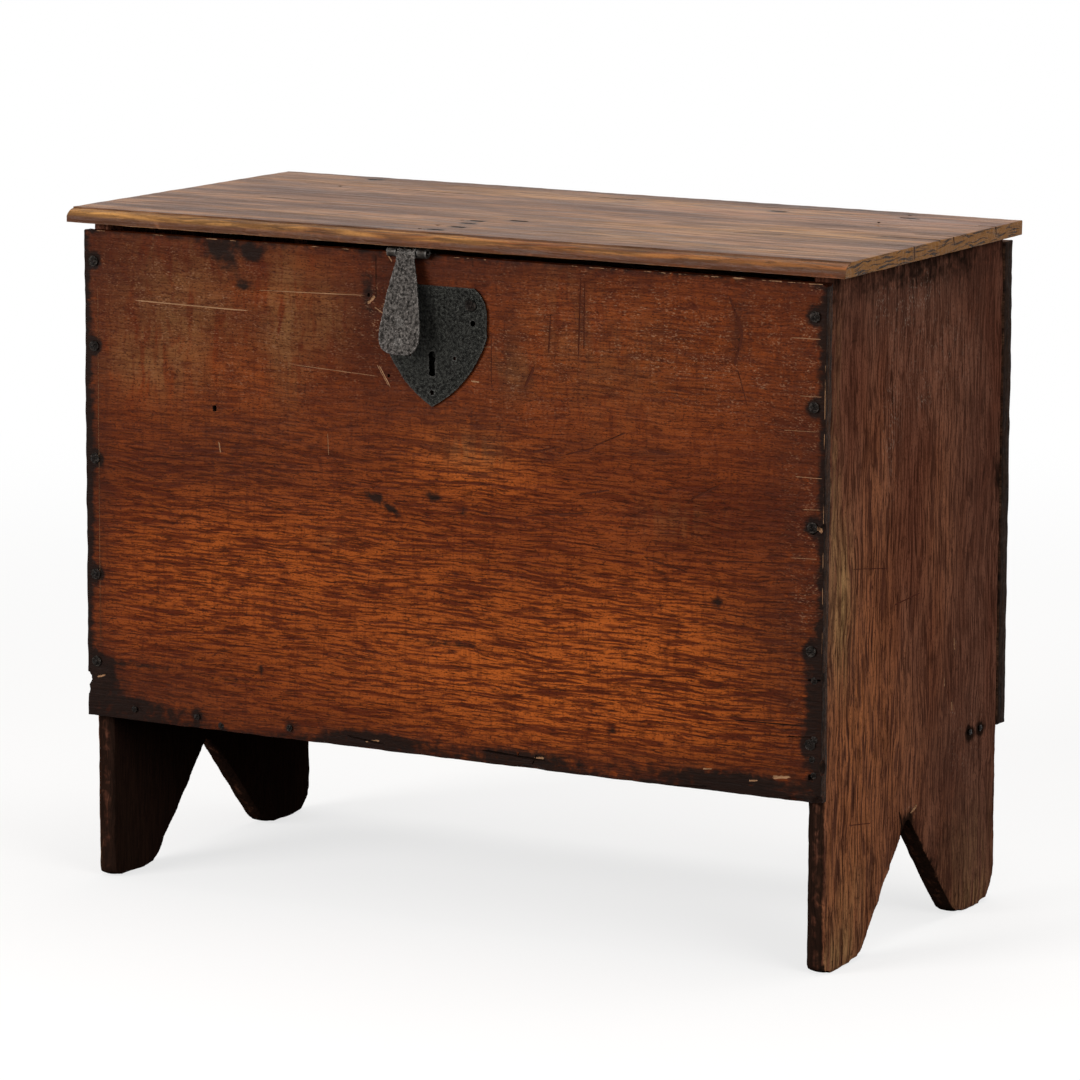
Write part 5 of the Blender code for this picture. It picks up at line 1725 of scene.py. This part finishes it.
@dataclass
class Studio:
    """A pale floor, soft lamps, a white surround and the camera."""

    floor_size: float = 80.0
    floor_drop: float = 0.0004
    seen_floor: str = "#8E8C8A"
    bounce_floor: str = "#4A4846"
    floor_lift: float = 0.72
    fade: tuple[float, float] = (0.9, 3.0)  # from the chest, where the floor turns to plain white
    ambient: float = 0.3
    azimuth: float = 29.5354
    elevation: float = 9.8202
    roll: float = 0.2386
    distance: float = 5.662
    target: tuple[float, float, float] = (0.0094, -0.0263, 0.3546)
    lens: float = 193.7
    sensor: float = 36.0  # this and the lens are in millimetres
    clip: float = 200.0
    # each lamp's name, place, size and power
    lamps: tuple[tuple[str, tuple[float, float, float], float, float], ...] = (
        ("key", (-2.2, -3.9, 1.7), 2.2, 178.0), ("fill", (3.4, -1.6, 1.6), 2.0, 70.0),
        ("top", (0.2, 0.6, 3.4), 2.4, 58.0),
    )

    def build(self) -> None:
        """Set up the floor, the surround, the lamps and the camera."""
        self.floor()
        self.surround()
        for lamp in self.lamps:
            self.lamp(*lamp)
        self.camera()
        LOG.info("studio")

    def seen(self, tree: bpy.types.NodeTree) -> bpy.types.NodeSocket:
        """1 for what the camera sees, straight or in metal or glass.

        Args:
            tree: The nodes to add to.

        Returns:
            The factor.
        """
        straight = add(tree, Kind.RAY, output="Is Camera Ray")
        glossy = straight.node.outputs["Is Glossy Ray"]
        through = straight.node.outputs["Is Transmission Ray"]
        either = add(tree, Kind.SUM, {0: straight, 1: glossy}, operation="MAXIMUM")
        return add(tree, Kind.SUM, {0: either, 1: through}, operation="MAXIMUM")

    def floor(self) -> None:
        """Lay the floor: white paper, which throws less light back than it shows."""
        bpy.ops.object.select_all(action="DESELECT")
        bpy.ops.mesh.primitive_plane_add(size=self.floor_size, location=(0, 0, -self.floor_drop))
        made = settle(bpy.context.object, "floor")
        look, tree, skin = blank("floor_paper")
        seen = self.seen(tree)
        away = add(tree, Kind.SHIFT, {0: add(tree, Kind.PLACE, output="Object")}, "Value", operation="LENGTH")
        plain = ramp(tree, away, *self.fade)
        shown = blend(tree, plain, linear(self.seen_floor), (0, 0, 0, 1))
        colour = blend(tree, seen, linear(self.bounce_floor), shown)
        tree.links.new(colour, skin.inputs["Base Color"])
        lift = add(tree, Kind.RANGE, {"Value": plain, "To Min": self.floor_lift, "To Max": 1.0})
        tree.links.new(times(tree, seen, lift), skin.inputs["Emission Strength"])
        skin.inputs["Emission Color"].default_value = (1, 1, 1, 1)
        skin.inputs["Roughness"].default_value = 1.0
        skin.inputs["Specular IOR Level"].default_value = 0.0
        made.data.materials.append(look)
        made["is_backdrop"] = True

    def surround(self) -> None:
        """Make the world white where it is seen, and a dim soft light elsewhere."""
        world = bpy.data.worlds.new("surround")
        bpy.context.scene.world = world
        world.use_nodes = True
        tree = world.node_tree
        sky = tree.nodes["Background"]
        sky.inputs["Color"].default_value = (1, 1, 1, 1)
        inputs = {"Value": self.seen(tree), "To Min": self.ambient, "To Max": 1.0}
        tree.links.new(add(tree, Kind.RANGE, inputs), sky.inputs["Strength"])

    def lamp(self, name: str, place: tuple[float, float, float], size: float, power: float) -> None:
        """Hang a square soft lamp that looks at the chest.

        Args:
            name: The lamp's name.
            place: Where it hangs.
            size: The length of its sides.
            power: Its power in watts.
        """
        light = bpy.data.lights.new(name, "AREA")
        light.shape = "SQUARE"
        light.size = size
        light.energy = power
        made = bpy.data.objects.new(name, light)
        bpy.context.scene.collection.objects.link(made)
        made.location = place
        made.rotation_euler = (Vector(self.target) - Vector(place)).to_track_quat("-Z", "Y").to_euler()

    def camera(self) -> None:
        """Put the camera where the photograph was taken from."""
        across, up, roll = (math.radians(angle) for angle in (self.azimuth, self.elevation, self.roll))
        back = Vector((math.sin(across) * math.cos(up), -math.cos(across) * math.cos(up), math.sin(up)))
        level = Vector((0, 0, 1)).cross(back).normalized()
        rise = back.cross(level)
        right = level * math.cos(roll) + rise * math.sin(roll)
        top = rise * math.cos(roll) - level * math.sin(roll)
        view = bpy.data.cameras.new("camera")
        view.sensor_width = self.sensor
        view.lens = self.lens
        view.clip_end = self.clip
        made = bpy.data.objects.new("camera", view)
        bpy.context.scene.collection.objects.link(made)
        turn = Matrix((right, top, back)).transposed().to_4x4()
        made.matrix_world = Matrix.Translation(Vector(self.target) + back * self.distance) @ turn
        bpy.context.scene.camera = made


def main() -> None:
    """Build the chest's pieces in order."""
    logging.basicConfig(level=logging.INFO, format="%(message)s", force=True)
    bpy.context.scene.view_settings.view_transform = "Standard"
    Studio().build()
    finishes = {
        "front": OAK_FRONT, "end": OAK_END, "lid": OAK_LID, "back": OAK_BACK, "inside": OAK_INSIDE,
        "scratch": SCRATCH_AND_GLINT, "crack": CRACK_SHADE, "ray": RAY, "hasp": IRON_HASP, "lock": IRON_LOCK,
        "hinge": IRON_HINGE, "nail": IRON_NAIL,
    }
    looks = {name: finish.make() for name, finish in finishes.items()}
    carcass = Carcass()
    carcass.build(looks)
    carcass.nail(Nails(looks["nail"]))
    Lid().build(looks)
    Hinges().build(looks["hinge"], Nails(looks["nail"], **SMALL_NAIL))
    Hasp().build(looks["hasp"], looks["hinge"], Nails(looks["nail"], **SMALL_NAIL))
    Lock().build(looks["lock"], Nails(looks["nail"], **SMALL_NAIL))
    boxes = {"cad": CAD_BOX, "visual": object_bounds()}
    {name: [list(corner) for corner in box] for name, box in boxes.items()}


if __name__ == "__main__":
    main()
